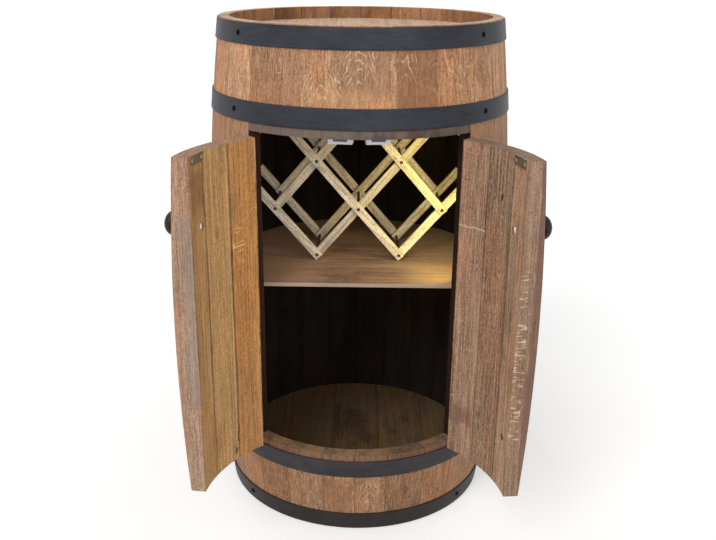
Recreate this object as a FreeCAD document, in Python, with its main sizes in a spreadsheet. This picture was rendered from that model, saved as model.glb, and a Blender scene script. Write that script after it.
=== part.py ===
"""Barrel bar cabinet: an oak barrel with a two-door opening, a shelf and a lattice wine rack.

The model is in millimetres. +Z is up, the opening faces -Y and +X is to the right of someone who
stands in front of it. The origin is on the floor, on the barrel's axis. Angles round the barrel
are measured from its front, positive to the right. The doors are drawn shut and then swung open
to their rest position about their hinge pins.
"""
import FreeCAD, Part
import math
import os
import Sketcher

Vector = FreeCAD.Vector
UP = Vector(0, 0, 1)

DIMENSIONS = (
    # the barrel
    ("barrel_height", 800, "floor to the top of the staves"),
    ("bilge_radius", 248, "outside of the staves half way up"),
    ("stave_bulge", 25.5, "how far half way up stands out past the ends"),
    ("stave_thickness", 32, "half way up"),
    ("chime_thickness", 16.5, "staves at both ends"),
    ("chime_taper", 110, "height of each tapered end"),
    # the opening and the boards round it
    ("sill_height", 145, "bottom of the opening"),
    ("upper_band_height", 151, "from the top of the opening to the top of the staves"),
    ("jamb_angle", 42.5, "half of the opening's angle"),
    ("outer_joint_angle", 28, "joint between the second and third board from the middle"),
    ("inner_joint_angle", 12.5, "joint between the first and second board from the middle"),
    # the heads
    ("head_thickness", 18, "both heads"),
    ("head_bevel", 3.5, "taken off both sides of a head's edge"),
    ("head_bevel_inset", 2, "from the staves to where the bevel starts"),
    ("top_recess", 20, "from the rim down to the top head"),
    ("bottom_recess", 28, "from the floor up to the bottom head"),
    ("head_board_width", 84, "every board but the outermost two of a head"),
    ("head_joint_gap", 0.2, "between a head's boards"),
    ("croze_depth", 4.5, "how far a head's edge stands in the staves"),
    ("croze_clearance", 0.3, "between a head's edge and its groove"),
    # the hoops
    ("hoop_width", 30, "every hoop"),
    ("hoop_thickness", 2, "sheet steel"),
    ("hoop_clearance", 0.1, "between hoop and staves"),
    ("hoop_setback", 1.5, "from the ends of the staves to the top and bottom hoops"),
    ("upper_hoop_drop", 109, "from the top to the second hoop from the top"),
    ("lower_hoop_height", 105, "lower edge of the third hoop from the top"),
    ("rivet_angle", 51, "rivets from the front, and from the back"),
    ("rivet_head_radius", 4, "domed head"),
    ("rivet_head_height", 2.4, "domed head"),
    ("rivet_shank_radius", 1.5, "in the hoop and the stave"),
    ("rivet_length", 14, "below the head"),
    # the doors
    ("door_clearance", 3, "above and below a door"),
    ("door_meeting_gap", 3, "between the two doors"),
    ("left_open_angle", 97.3, "left door's rest position from shut"),
    ("right_open_angle", 96.5, "right door's rest position from shut"),
    # the hinges
    ("hinge_proud", 2, "pin's axis outside the bilge"),
    ("hinge_gap", 4, "between door and jamb at the pin"),
    ("hinge_length", 60, "along the pin"),
    ("hinge_end_distance", 90, "from the opening's ends to the middles of the hinges"),
    ("leaf_width", 22, "from the pin's axis inwards"),
    ("leaf_thickness", 1.5, "both leaves"),
    ("knuckle_radius", 3.5, "outside of the knuckles"),
    ("knuckle_length", 20, "the door leaf's knuckle"),
    ("knuckle_clearance", 0.3, "between one leaf's knuckles and the other leaf"),
    ("pin_radius", 1.75, "hinge pin"),
    ("pin_clearance", 0.05, "between pin and knuckle"),
    ("hinge_screw_pitch", 21, "between a leaf's screws"),
    ("leaf_screw_inset", 5, "from the leaf's inner edge to its screws"),
    # the countersunk screws
    ("screw_radius", 1.5, "shank"),
    ("screw_head_radius", 3, "countersunk head"),
    ("screw_head_depth", 1.5, "countersunk head"),
    ("leaf_screw_length", 14, "in a hinge leaf or a strike plate"),
    ("catch_screw_length", 26, "in a catch"),
    ("cleat_screw_length", 34, "in a cleat"),
    # the knobs
    ("knob_angle", 10, "from the barrel's front"),
    ("knob_drop", 104, "below the top of the opening"),
    ("knob_radius", 17, "widest part"),
    ("knob_depth", 25, "stands out from the door"),
    ("knob_neck_radius", 8, "foot"),
    ("knob_waist_radius", 6.4, "under the cap"),
    ("knob_neck_length", 9, "up to the underside of the cap"),
    ("knob_flare", 2, "from the underside up to the widest part"),
    ("knob_dome_height", 9, "from the widest part to the end"),
    ("knob_flat_radius", 4, "flat end of the dome"),
    ("bolt_radius", 2, "knob bolt's shank"),
    ("bolt_head_radius", 4, "knob bolt's head"),
    ("bolt_head_height", 2.6, "knob bolt's head"),
    ("bolt_thread_depth", 12, "in the knob"),
    # the rail that carries the catches, and the cleats that carry the shelf
    ("seat_clearance", 0.3, "between the wall and what is fixed to it"),
    ("rail_height", 18, "rail over the opening"),
    ("rail_angle", 15, "half of the rail's angle"),
    ("cleat_thickness", 20, "from the wall inwards"),
    ("cleat_length", 60, "along the wall"),
    ("cleat_height", 22, "under the shelf"),
    ("front_cleat_angle", 68, "from the front"),
    ("back_cleat_angle", 145, "from the front"),
    # the shelf
    ("shelf_rise", 2.5, "its top above half the barrel's height"),
    ("shelf_thickness", 6.5, "plywood"),
    ("shelf_setback", 70, "its straight front edge behind the wall"),
    ("shelf_clearance", 0.5, "between the shelf and the wall"),
    # the magnetic catches and their plates
    ("catch_offset", 28, "from the middle, along the lip"),
    ("catch_width", 35, "housing"),
    ("catch_height", 12, "housing"),
    ("catch_depth", 15, "housing"),
    ("catch_screw_offset", 14.2, "from the catch's middle"),
    ("magnet_width", 18, "in the housing's pocket"),
    ("magnet_thickness", 3.4, "between the pole plates"),
    ("pole_plate_width", 20, "both pole plates"),
    ("pole_plate_thickness", 1.2, "both pole plates"),
    ("pole_plate_reach", 1, "stands out of the housing"),
    ("pocket_depth", 12, "in the housing"),
    ("strike_gap", 0.4, "between pole plates and strike plate"),
    ("strike_width", 38, "plate on the door"),
    ("strike_height", 13, "plate on the door"),
    ("strike_thickness", 1.5, "plate on the door"),
    ("strike_screw_offset", 14, "from the plate's middle"),
    # the rack
    ("rack_slope", 49.2, "slats' angle from level"),
    ("rack_top_gap", 21, "from the slats' upper tips to the top head"),
    ("rack_wall_gap", 18, "from the longest slats to the wall"),
    ("rack_front", 36, "front face, from the barrel's axis"),
    ("rack_depth", 121, "front face to back face"),
    ("slat_width", 14, "pine slats"),
    ("slat_thickness", 6, "pine slats"),
    ("slat_tip", 6, "past the last pin"),
    ("rack_clearance", 0.2, "between the rack's tips and the shelf"),
    ("rack_pin_radius", 2.25, "through both lattices"),
    # the light
    ("light_turn", 4.5, "strip on the wall behind the jamb, as an angle"),
    ("light_width", 8, "strip"),
    ("light_thickness", 2.5, "strip"),
    ("light_foot", 130, "strip's lower end above the floor"),
    ("light_notch_clearance", 1, "round the strip in the shelf"),
    ("battery_box_width", 26, "along the wall"),
    ("battery_box_depth", 18, "off the wall"),
    ("battery_box_length", 40, "upwards"),
)

HEAD_BOARDS = 5
SIDE_STAVES = 9
BACK_STAVES_A_SIDE = 4
RACK_ROWS = 5

doc = FreeCAD.newDocument("barrel_bar_cabinet")
sheet = doc.addObject("Spreadsheet::Sheet", "dims")
for row, (alias, value, note) in enumerate(DIMENSIONS, start=1):
    sheet.set("A%d" % row, note)
    sheet.set("B%d" % row, str(value))
    sheet.setAlias("B%d" % row, alias)
doc.recompute()

nodes = {}


def size(expression):
    """Return the value of an expression of the sheet's cells, such as 'dims.barrel_height / 2'."""
    return float(sheet.evalExpression(expression))


def bind(obj, **expressions):
    """Bind properties of an object to expressions of the sheet's cells."""
    for name, expression in expressions.items():
        obj.setExpression(name, expression)
    return obj


def place(obj, position=Vector(), rotation=FreeCAD.Rotation()):
    """Set an object's placement."""
    obj.Placement = FreeCAD.Placement(position, rotation)
    return obj


def keep(name, obj):
    """Name an object as one of the cabinet's nodes."""
    obj.Label = name
    nodes[name] = obj
    return obj


def box(name, length, width, height):
    """Add a box with its corner at the origin."""
    return bind(doc.addObject("Part::Box", name), Length=length, Width=width, Height=height)


def cylinder(name, radius, height, angle="360"):
    """Add an upright cylinder, or a wedge of one that starts at +X and turns towards +Y."""
    return bind(doc.addObject("Part::Cylinder", name), Radius=radius, Height=height, Angle=angle)


def cone(name, lower_radius, upper_radius, height):
    """Add an upright cone."""
    obj = doc.addObject("Part::Cone", name)
    return bind(obj, Radius1=lower_radius, Radius2=upper_radius, Height=height)


def cut(name, base, tool):
    """Take one object out of another."""
    obj = doc.addObject("Part::Cut", name)
    obj.Base = base
    obj.Tool = tool
    return obj


def common(name, *shapes):
    """Keep what several objects share."""
    obj = doc.addObject("Part::MultiCommon", name)
    obj.Shapes = list(shapes)
    return obj


def fuse(name, *shapes):
    """Join several objects into one solid."""
    obj = doc.addObject("Part::MultiFuse", name)
    obj.Shapes = list(shapes)
    return obj


def group(name, members):
    """Keep several separate solids as one object."""
    obj = doc.addObject("Part::Compound", name)
    obj.Links = list(members)
    return obj


def copies(name, master, placements):
    """Group linked copies of one object, one at each placement."""
    links = []
    for number, placement in enumerate(placements, start=1):
        link = doc.addObject("App::Link", "%s_%d" % (name, number))
        link.LinkedObject = master
        link.Placement = placement
        links.append(link)
    return group(name, links)


def mirrored(name, source):
    """Mirror an object from the right side of the barrel to the left."""
    obj = doc.addObject("Part::Mirroring", name)
    obj.Source = source
    obj.Normal = Vector(1, 0, 0)
    return obj


def both_sides(name, source):
    """Group an object on the right side with its mirror image on the left."""
    return group(name, [source, mirrored(name + "_mirror", source)])


def turned_to(angle):
    """Return the rotation that turns +X to an angle round the barrel from its front."""
    return FreeCAD.Rotation(UP, angle - 90)


def at(angle, radius, height, sideways=0):
    """Return the point at an angle, a radius and a height, moved sideways to the right."""
    return turned_to(angle).multVec(Vector(radius, sideways, 0)) + UP * height


# --- places that several pieces share --------------------------------------------------------

TOP = "dims.barrel_height"
LIP = "(dims.barrel_height - dims.upper_band_height)"
CHIME = "(dims.bilge_radius - dims.stave_bulge)"
CHIME_BORE = "(%s - dims.chime_thickness)" % CHIME
WALL = "(dims.bilge_radius - dims.stave_thickness)"
PIN_RADIUS = "(dims.bilge_radius + dims.hinge_proud)"
SHELF_TOP = "(dims.barrel_height / 2 + dims.shelf_rise)"
SHELF_FOOT = "(%s - dims.shelf_thickness)" % SHELF_TOP
TOP_HEAD_FOOT = "(dims.barrel_height - dims.top_recess - dims.head_thickness)"

# --- outlines that are turned about an axis --------------------------------------------------

ARC_RADIUS = (
    "(((dims.barrel_height / 2)^2 + dims.stave_bulge^2) / (2 * dims.stave_bulge))"
)
ARC_CENTRE = ("dims.bilge_radius - " + ARC_RADIUS, "dims.barrel_height / 2")


def outline(body, role, corners, arcs=None):
    """Draw a closed outline whose corners follow the sheet.

    A corner is a pair of expressions. arcs maps the number of a corner to the expressions of the
    centre of the arc that leaves it; the corner where an arc ends follows it sideways and gives
    only its height. An arc runs from its first corner to its last anticlockwise.
    """
    arcs = arcs or {}
    plane = next(item for item in body.Origin.OriginFeatures if item.Role == role)
    sketch = body.newObject("Sketcher::SketchObject", body.Name + "_outline")
    sketch.AttachmentSupport = [(plane, "")]
    sketch.MapMode = "FlatFace"
    points = [Vector(size(across), size(upwards), 0) for across, upwards in corners]
    count = len(points)
    for number in range(count):
        start = points[number]
        end = points[(number + 1) % count]
        edge = Part.LineSegment(start, end)
        if number in arcs:
            edge = arc_between(start, end, Vector(*[size(part) for part in arcs[number]], 0))
        sketch.addGeometry(edge, False)
    for number in range(count):
        sketch.addConstraint(Sketcher.Constraint("Coincident", number, 2, (number + 1) % count, 1))
    for number, (across, upwards) in enumerate(corners):
        if (number - 1) % count not in arcs:
            pin_down(sketch, number, 1, "X", across)
        pin_down(sketch, number, 1, "Y", upwards)
    for number, (across, upwards) in arcs.items():
        pin_down(sketch, number, 3, "X", across)
        pin_down(sketch, number, 3, "Y", upwards)
    return sketch


def arc_between(start, end, centre):
    """Return the anticlockwise arc about a centre from one point towards another."""
    first = math.atan2(start.y - centre.y, start.x - centre.x)
    last = math.atan2(end.y - centre.y, end.x - centre.x)
    circle = Part.Circle(centre, Vector(0, 0, 1), (start - centre).Length)
    return Part.ArcOfCircle(circle, first, last)


def pin_down(sketch, edge, point, axis, expression):
    """Fix one coordinate of a point of a sketch's edge to an expression."""
    if expression == "0":
        axis_edge = -2 if axis == "X" else -1
        sketch.addConstraint(Sketcher.Constraint("PointOnObject", edge, point, axis_edge))
        return
    kind = "Distance" + axis
    number = sketch.addConstraint(
        Sketcher.Constraint(kind, -1, 1, edge, point, size(expression)))
    name = "%s_%d_%d" % (axis.lower(), edge, point)
    sketch.renameConstraint(number, name)
    sketch.setExpression("Constraints." + name, expression)


def turned_body(name, corners, arcs=None):
    """Add a body that is an outline in the XZ plane turned about Z."""
    body = doc.addObject("PartDesign::Body", name)
    sketch = outline(body, "XZ_Plane", corners, arcs)
    turn = body.newObject("PartDesign::Revolution", name + "_turn")
    turn.Profile = sketch
    turn.ReferenceAxis = (sketch, ["V_Axis"])
    turn.Angle = 360
    doc.recompute()
    body.Tip = turn
    return body


def outer_radius(height):
    """Return the outside radius of the staves at a height."""
    radius = size(ARC_RADIUS)
    rise = height - size("dims.barrel_height / 2")
    return size(ARC_CENTRE[0]) + math.sqrt(radius ** 2 - rise ** 2)


# --- fasteners -------------------------------------------------------------------------------

def screw(name, length):
    """Add a countersunk screw whose head is flush with Z = 0 and whose shank points down."""
    head = cone(name + "_head", "dims.screw_radius", "dims.screw_head_radius",
                "dims.screw_head_depth")
    bind(head, **{"Placement.Base.z": "-dims.screw_head_depth"})
    shank = cylinder(name + "_shank", "dims.screw_radius", length + " - dims.screw_head_depth")
    bind(shank, **{"Placement.Base.z": "-(%s)" % length})
    return fuse(name, head, shank)


def pointing_in(angle):
    """Return the rotation that turns an upright piece's -Z to the barrel's axis at an angle."""
    return turned_to(angle) * FreeCAD.Rotation(Vector(0, 1, 0), 90)


def pointing_out(angle):
    """Return the rotation that turns an upright piece's -Z away from the barrel's axis."""
    return turned_to(angle) * FreeCAD.Rotation(Vector(0, 1, 0), -90)


leaf_screw = screw("leaf_screw", "dims.leaf_screw_length")
catch_screw = screw("catch_screw", "dims.catch_screw_length")
cleat_screw = screw("cleat_screw", "dims.cleat_screw_length")

# --- the barrel's wall -------------------------------------------------------------------------

wall = turned_body("wall", (
    (CHIME_BORE, "0"),
    (CHIME, "0"),
    (CHIME, TOP),
    (CHIME_BORE, TOP),
    (WALL, TOP + " - dims.chime_taper"),
    (WALL, "dims.chime_taper"),
), arcs={1: ARC_CENTRE})

TAPER_SLOPE = "((%s - %s) / dims.chime_taper)" % (WALL, CHIME_BORE)


def bevelled_disc(name, face, edge, foot):
    """Add a head's disc, bevelled from its faces' radius to its edge's on both sides."""
    top = "(%s + dims.head_thickness)" % foot
    return turned_body(name, (
        ("0", foot),
        (face, foot),
        (edge, foot + " + dims.head_bevel"),
        (edge, top + " - dims.head_bevel"),
        (face, top),
        ("0", top),
    ))


def head_strip(name, number, foot):
    """Add the strip that one board is cut from; the outermost two run out past the edge."""
    half = HEAD_BOARDS / 2 - 1
    outermost = number in (0, HEAD_BOARDS - 1)
    width = WALL if outermost else "dims.head_board_width - dims.head_joint_gap"
    strip = box(name, width, "2 * " + WALL, "dims.head_thickness")
    left = "%.9g * dims.head_board_width + dims.head_joint_gap / 2" % (number - 1 - half)
    if number == 0:
        left = "-%.9g * dims.head_board_width - dims.head_joint_gap / 2 - %s" % (half, WALL)
    return bind(strip, **{"Placement.Base.x": left, "Placement.Base.y": "-" + WALL,
                          "Placement.Base.z": foot})


def head(name, recess, foot):
    """Add a head of boards laid edge to edge, and return the groove that holds it."""
    bore = "%s + %s * %s" % (CHIME_BORE, TAPER_SLOPE, recess)
    face = bore + " - dims.head_bevel_inset"
    edge = bore + " + dims.croze_depth"
    disc = bevelled_disc(name + "_disc", face, edge, foot)
    boards = []
    for number in range(HEAD_BOARDS):
        strip = head_strip("%s_strip_%d" % (name, number + 1), number, foot)
        boards.append(common("%s_board_%d" % (name, number + 1), disc, strip))
    keep(name, group(name, boards))
    return bevelled_disc(name + "_groove", face, edge + " + dims.croze_clearance", foot)


top_groove = head("top_head", "dims.top_recess", TOP_HEAD_FOOT)
bottom_groove = head("bottom_head", "dims.bottom_recess", "dims.bottom_recess")

# --- where the fasteners go through the wall -------------------------------------------------

HOOPS = {
    "top_hoop": "(%s - dims.hoop_width - dims.hoop_setback)" % TOP,
    "upper_hoop": "(%s - dims.upper_hoop_drop - dims.hoop_width)" % TOP,
    "lower_hoop": "dims.lower_hoop_height",
    "bottom_hoop": "dims.hoop_setback",
}
HINGE_HEIGHTS = ("(dims.sill_height + dims.hinge_end_distance)",
                 "(%s - dims.hinge_end_distance)" % LIP)
GAP_ANGLE = math.degrees(math.asin(size("dims.hinge_gap / " + PIN_RADIUS)))
JAMB = size("dims.jamb_angle")
DOOR_EDGE = JAMB - GAP_ANGLE
PIN_ANGLE = JAMB - GAP_ANGLE / 2


def rivet_placements():
    """Return a placement for each rivet: four to a hoop."""
    places = []
    from_front = size("dims.rivet_angle")
    for foot in HOOPS.values():
        height = size(foot + " + dims.hoop_width / 2")
        radius = outer_radius(height) + size("dims.hoop_clearance + dims.hoop_thickness")
        for angle in (from_front, 180 - from_front, 180 + from_front, -from_front):
            places.append(FreeCAD.Placement(at(angle, radius, height), pointing_in(angle)))
    return places


def leaf_screw_placements(angle, lift, outward):
    """Return a placement for each screw of the two leaves that lie on one radial plane.

    angle is the plane's, lift is how far the leaf's face stands off it, and outward is 1 where
    the screws point away from the opening's middle and -1 where they point towards it.
    """
    places = []
    radius = size(PIN_RADIUS + " - dims.leaf_width + dims.leaf_screw_inset")
    rotation = turned_to(angle) * FreeCAD.Rotation(Vector(1, 0, 0), 90 * outward)
    for middle in HINGE_HEIGHTS:
        for step in (-1, 0, 1):
            height = size(middle) + step * size("dims.hinge_screw_pitch")
            point = at(angle, radius, height, -outward * lift)
            places.append(FreeCAD.Placement(point, rotation))
    return places


rivet = turned_body("rivet", (
    ("0", "-dims.rivet_length"),
    ("dims.rivet_shank_radius", "-dims.rivet_length"),
    ("dims.rivet_shank_radius", "0"),
    ("dims.rivet_head_radius", "0"),
    ("dims.rivet_shank_radius", "dims.rivet_head_height"),
    ("0", "dims.rivet_head_height"),
))
hoop_rivets = keep("hoop_rivets", copies("hoop_rivets", rivet, rivet_placements()))

leaf_thickness = size("dims.leaf_thickness")
jamb_screws = copies("jamb_screws", leaf_screw, leaf_screw_placements(JAMB, leaf_thickness, 1))
keep("jamb_hinge_screws", both_sides("jamb_hinge_screws", jamb_screws))

# --- cleats, screwed to the wall from inside -------------------------------------------------

def seat(width):
    """Return the expression of the radius of a flat back of some width against the wall."""
    return "sqrt((%s - dims.seat_clearance)^2 - (%s / 2)^2)" % (WALL, width)


CLEAT_FACE = seat("dims.cleat_length") + " - dims.cleat_thickness"
cleat_foot = size(SHELF_FOOT + " - dims.cleat_height")
cleat_angles = (size("dims.front_cleat_angle"), size("dims.back_cleat_angle"))
cleat_bars = []
cleat_screw_places = []
for angle in cleat_angles:
    bar = box("cleat_%d" % angle, "dims.cleat_thickness", "dims.cleat_length",
              "dims.cleat_height")
    face = size(CLEAT_FACE)
    place(bar, at(angle, face, cleat_foot, -size("dims.cleat_length / 2")), turned_to(angle))
    cleat_bars.append(bar)
    for side in (-1, 1):
        point = at(angle, face, cleat_foot + size("dims.cleat_height / 2"),
                   side * size("dims.cleat_length / 4"))
        cleat_screw_places.append(FreeCAD.Placement(point, pointing_out(angle)))
cleat_screws = copies("right_cleat_screws", cleat_screw, cleat_screw_places)
cleats = cut("cleats", group("cleat_bars", cleat_bars), cleat_screws)
keep("shelf_cleats", both_sides("shelf_cleats", cleats))
keep("cleat_screws", both_sides("cleat_screws", cleat_screws))

# --- staves ----------------------------------------------------------------------------------

holes = group("wall_holes", [hoop_rivets, nodes["jamb_hinge_screws"], nodes["cleat_screws"],
                             top_groove, bottom_groove])
cut_wall = cut("cut_wall", wall, holes)


def wedge(name, start, end, foot="0", top=TOP):
    """Add a wedge of the barrel between two angles and two heights."""
    angle = "%.9g" % (end - start)
    piece = cylinder(name, "2 * dims.bilge_radius", "%s - (%s)" % (top, foot), angle)
    return place(piece, Vector(0, 0, size(foot)), turned_to(start))


stave_angle = (180 - JAMB) / SIDE_STAVES
back_staves = []
for number in range(SIDE_STAVES):
    start = JAMB + number * stave_angle
    end = start + stave_angle
    for side, first, last in (("right", start, end), ("left", -end, -start)):
        name = "%s_stave_%d" % (side, number + 1)
        stave = common(name, cut_wall, wedge(name + "_wedge", first, last))
        if number < SIDE_STAVES - BACK_STAVES_A_SIDE:
            keep(name, stave)
        else:
            back_staves.append(stave)
keep("back_staves", group("back_staves", back_staves))

board_joints = (0, size("dims.inner_joint_angle"), size("dims.outer_joint_angle"), JAMB)
BOARD_NAMES = ("meeting", "middle", "hinge")


def short_staves(name, foot, top):
    """Add the staves above or below the opening as one node."""
    staves = []
    joints = [-joint for joint in reversed(board_joints[1:])] + list(board_joints)
    for number in range(len(joints) - 1):
        stave = name + "_%d" % (number + 1)
        piece = wedge(stave + "_wedge", joints[number], joints[number + 1], foot, top)
        staves.append(common(stave, cut_wall, piece))
    return keep(name, group(name, staves))


short_staves("upper_front_staves", LIP, TOP)
short_staves("lower_front_staves", "0", "dims.sill_height")

# --- hoops -----------------------------------------------------------------------------------


def wall_face(height, offset):
    """Return the expression of the radius of the wall's outside at a height, moved outwards."""
    rise = "(%s - dims.barrel_height / 2)" % height
    return "(%s + sqrt(%s^2 - %s^2) + %s)" % (ARC_CENTRE[0], ARC_RADIUS, rise, offset)


HOOP_INSIDE = "dims.hoop_clearance"
HOOP_OUTSIDE = "dims.hoop_clearance + dims.hoop_thickness"
for name, foot in HOOPS.items():
    top = "(%s + dims.hoop_width)" % foot
    band = turned_body(name + "_band", (
        (wall_face(foot, HOOP_INSIDE), foot),
        (wall_face(foot, HOOP_OUTSIDE), foot),
        (wall_face(top, HOOP_OUTSIDE), top),
        (wall_face(top, HOOP_INSIDE), top),
    ))
    keep(name, cut(name, band, hoop_rivets))

# --- hinges ----------------------------------------------------------------------------------

END_KNUCKLE = "((dims.hinge_length - dims.knuckle_length) / 2 - dims.knuckle_clearance)"


def knuckle(name, middle, rise, length, radius="dims.knuckle_radius"):
    """Add an upright cylinder on the right hinge's axis, from a rise above its middle."""
    piece = cylinder(name, radius, length)
    return place(piece, at(PIN_ANGLE, size(PIN_RADIUS), size(middle) + rise))


def leaf(name, middle, on_jamb):
    """Add one leaf of a right-hand hinge, lying on the jamb or on the door's edge."""
    angle = JAMB if on_jamb else DOOR_EDGE
    plate = box(name + "_plate", "dims.leaf_width", "dims.leaf_thickness", "dims.hinge_length")
    foot = size("%s - dims.hinge_length / 2" % middle)
    inner = size(PIN_RADIUS + " - dims.leaf_width")
    place(plate, at(angle, inner, foot, -leaf_thickness if on_jamb else 0), turned_to(angle))
    half = size("dims.hinge_length / 2")
    end_length = size(END_KNUCKLE)
    door_half = size("dims.knuckle_length / 2")
    ends = [knuckle(name + "_lower_end", middle, -half, END_KNUCKLE),
            knuckle(name + "_upper_end", middle, half - end_length, END_KNUCKLE)]
    centre = [knuckle(name + "_centre", middle, -door_half, "dims.knuckle_length")]
    clearance = size("dims.knuckle_clearance")
    swept = "dims.knuckle_radius + dims.knuckle_clearance"
    if on_jamb:
        own = ends
        room = [knuckle(name + "_room", middle, -door_half - clearance,
                        "dims.knuckle_length + 2 * dims.knuckle_clearance", swept)]
    else:
        own = centre
        room = [knuckle(name + "_lower_room", middle, -half, "%s + dims.knuckle_clearance"
                        % END_KNUCKLE, swept),
                knuckle(name + "_upper_room", middle, door_half, "%s + dims.knuckle_clearance"
                        % END_KNUCKLE, swept)]
    bore = knuckle(name + "_bore", middle, -half, "dims.hinge_length",
                   "dims.pin_radius + dims.pin_clearance")
    cleared = cut(name + "_cleared", plate, group(name + "_rooms", room))
    joined = fuse(name + "_joined", cleared, *own)
    return cut(name + "_bored", joined, bore)


door_edge_screws = copies("door_edge_screws", leaf_screw,
                          leaf_screw_placements(DOOR_EDGE, leaf_thickness, -1))
jamb_leaves = [leaf("jamb_leaf_%d" % number, middle, True)
               for number, middle in enumerate(HINGE_HEIGHTS, start=1)]
door_leaves = [leaf("door_leaf_%d" % number, middle, False)
               for number, middle in enumerate(HINGE_HEIGHTS, start=1)]
pins = [knuckle("hinge_pin_%d" % number, middle, -size("dims.hinge_length / 2"),
                "dims.hinge_length", "dims.pin_radius")
        for number, middle in enumerate(HINGE_HEIGHTS, start=1)]
keep("right_jamb_hinge_leaves", cut("right_jamb_hinge_leaves", group("jamb_leaves", jamb_leaves),
                                    jamb_screws))
keep("left_jamb_hinge_leaves", mirrored("left_jamb_hinge_leaves",
                                        nodes["right_jamb_hinge_leaves"]))
keep("right_hinge_pins", group("right_hinge_pins", pins))
keep("left_hinge_pins", mirrored("left_hinge_pins", nodes["right_hinge_pins"]))
closed_door = {"hinge_leaves": cut("door_hinge_leaves", group("door_leaves", door_leaves),
                                   door_edge_screws)}

# --- catches and strike plates ---------------------------------------------------------------

CATCH_ANGLE = math.degrees(math.asin(size("dims.catch_offset / " + WALL)))
STRIKE_SEAT = "sqrt(%s^2 - (dims.strike_width / 2)^2)" % WALL
STRIKE_FACE = "(%s - dims.strike_thickness)" % STRIKE_SEAT
CATCH_FACE = "(%s - dims.strike_gap - dims.pole_plate_reach)" % STRIKE_FACE
CATCH_FOOT = "(%s - dims.catch_height)" % LIP
CATCH_MIDDLE = "(%s - dims.catch_height / 2)" % LIP
STRIKE_MIDDLE = "(%s - dims.door_clearance - dims.strike_height / 2)" % LIP
POLE_STACK = "(dims.magnet_thickness + 2 * dims.pole_plate_thickness)"


def catch_block(name, depth, width, height, front, foot):
    """Add a block of the right-hand catch, by its front face and its foot."""
    block = box(name, depth, width, height)
    corner = size("%s - (%s)" % (front, depth))
    return place(block, at(CATCH_ANGLE, corner, size(foot), -size(width) / 2),
                 turned_to(CATCH_ANGLE))


catch_body = catch_block("catch_body", "dims.catch_depth", "dims.catch_width",
                         "dims.catch_height", CATCH_FACE, CATCH_FOOT)
pocket_foot = "(%s - %s / 2)" % (CATCH_MIDDLE, POLE_STACK)
catch_pocket = catch_block("catch_pocket", "dims.pocket_depth", "dims.pole_plate_width",
                           POLE_STACK, CATCH_FACE, pocket_foot)
plate_front = "(%s + dims.pole_plate_reach)" % CATCH_FACE
plate_depth = "dims.pocket_depth + dims.pole_plate_reach"
lower_plate = catch_block("lower_pole_plate", plate_depth, "dims.pole_plate_width",
                          "dims.pole_plate_thickness", plate_front, pocket_foot)
magnet_foot = pocket_foot + " + dims.pole_plate_thickness"
magnet = catch_block("magnet", "dims.pocket_depth", "dims.magnet_width",
                     "dims.magnet_thickness", CATCH_FACE, magnet_foot)
upper_plate = catch_block("upper_pole_plate", plate_depth, "dims.pole_plate_width",
                          "dims.pole_plate_thickness", plate_front,
                          magnet_foot + " + dims.magnet_thickness")
screw_radius_in_catch = size(CATCH_FACE + " - dims.catch_depth / 2")
catch_screw_places = [
    FreeCAD.Placement(at(CATCH_ANGLE, screw_radius_in_catch, size(CATCH_FOOT),
                         side * size("dims.catch_screw_offset")),
                      FreeCAD.Rotation(Vector(1, 0, 0), 180))
    for side in (-1, 1)]
catch_screws = copies("right_catch_screws", catch_screw, catch_screw_places)
housing = cut("right_catch_housing", cut("pocketed_catch", catch_body, catch_pocket),
              catch_screws)
keep("right_catch_housing", housing)
keep("left_catch_housing", mirrored("left_catch_housing", housing))
keep("catch_magnets", both_sides("catch_magnets", magnet))
keep("catch_pole_plates", both_sides("catch_pole_plates",
                                     group("pole_plates", [lower_plate, upper_plate])))
keep("catch_screws", both_sides("catch_screws", catch_screws))

rail_outside = wedge("rail_outside", -size("dims.rail_angle"), size("dims.rail_angle"),
                     LIP, "(%s + dims.rail_height)" % LIP)
bind(rail_outside, Radius=WALL + " - dims.seat_clearance")
rail_inside = cylinder("rail_inside", "%s - dims.catch_depth - 2 * dims.seat_clearance"
                       % CATCH_FACE, TOP)
rail_blank = cut("rail_blank", rail_outside, rail_inside)
keep("catch_rail", cut("catch_rail", rail_blank, nodes["catch_screws"]))

strike = box("strike_blank", "dims.strike_thickness", "dims.strike_width", "dims.strike_height")
place(strike, at(CATCH_ANGLE, size(STRIKE_FACE), size(STRIKE_MIDDLE + " - dims.strike_height / 2"),
                 -size("dims.strike_width / 2")), turned_to(CATCH_ANGLE))
strike_screw_places = [
    FreeCAD.Placement(at(CATCH_ANGLE, size(STRIKE_FACE), size(STRIKE_MIDDLE),
                         side * size("dims.strike_screw_offset")), pointing_out(CATCH_ANGLE))
    for side in (-1, 1)]
strike_screws = copies("strike_screws", leaf_screw, strike_screw_places)
closed_door["strike_plate"] = cut("strike_plate", strike, strike_screws)

# --- knob and its bolt -----------------------------------------------------------------------

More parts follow.
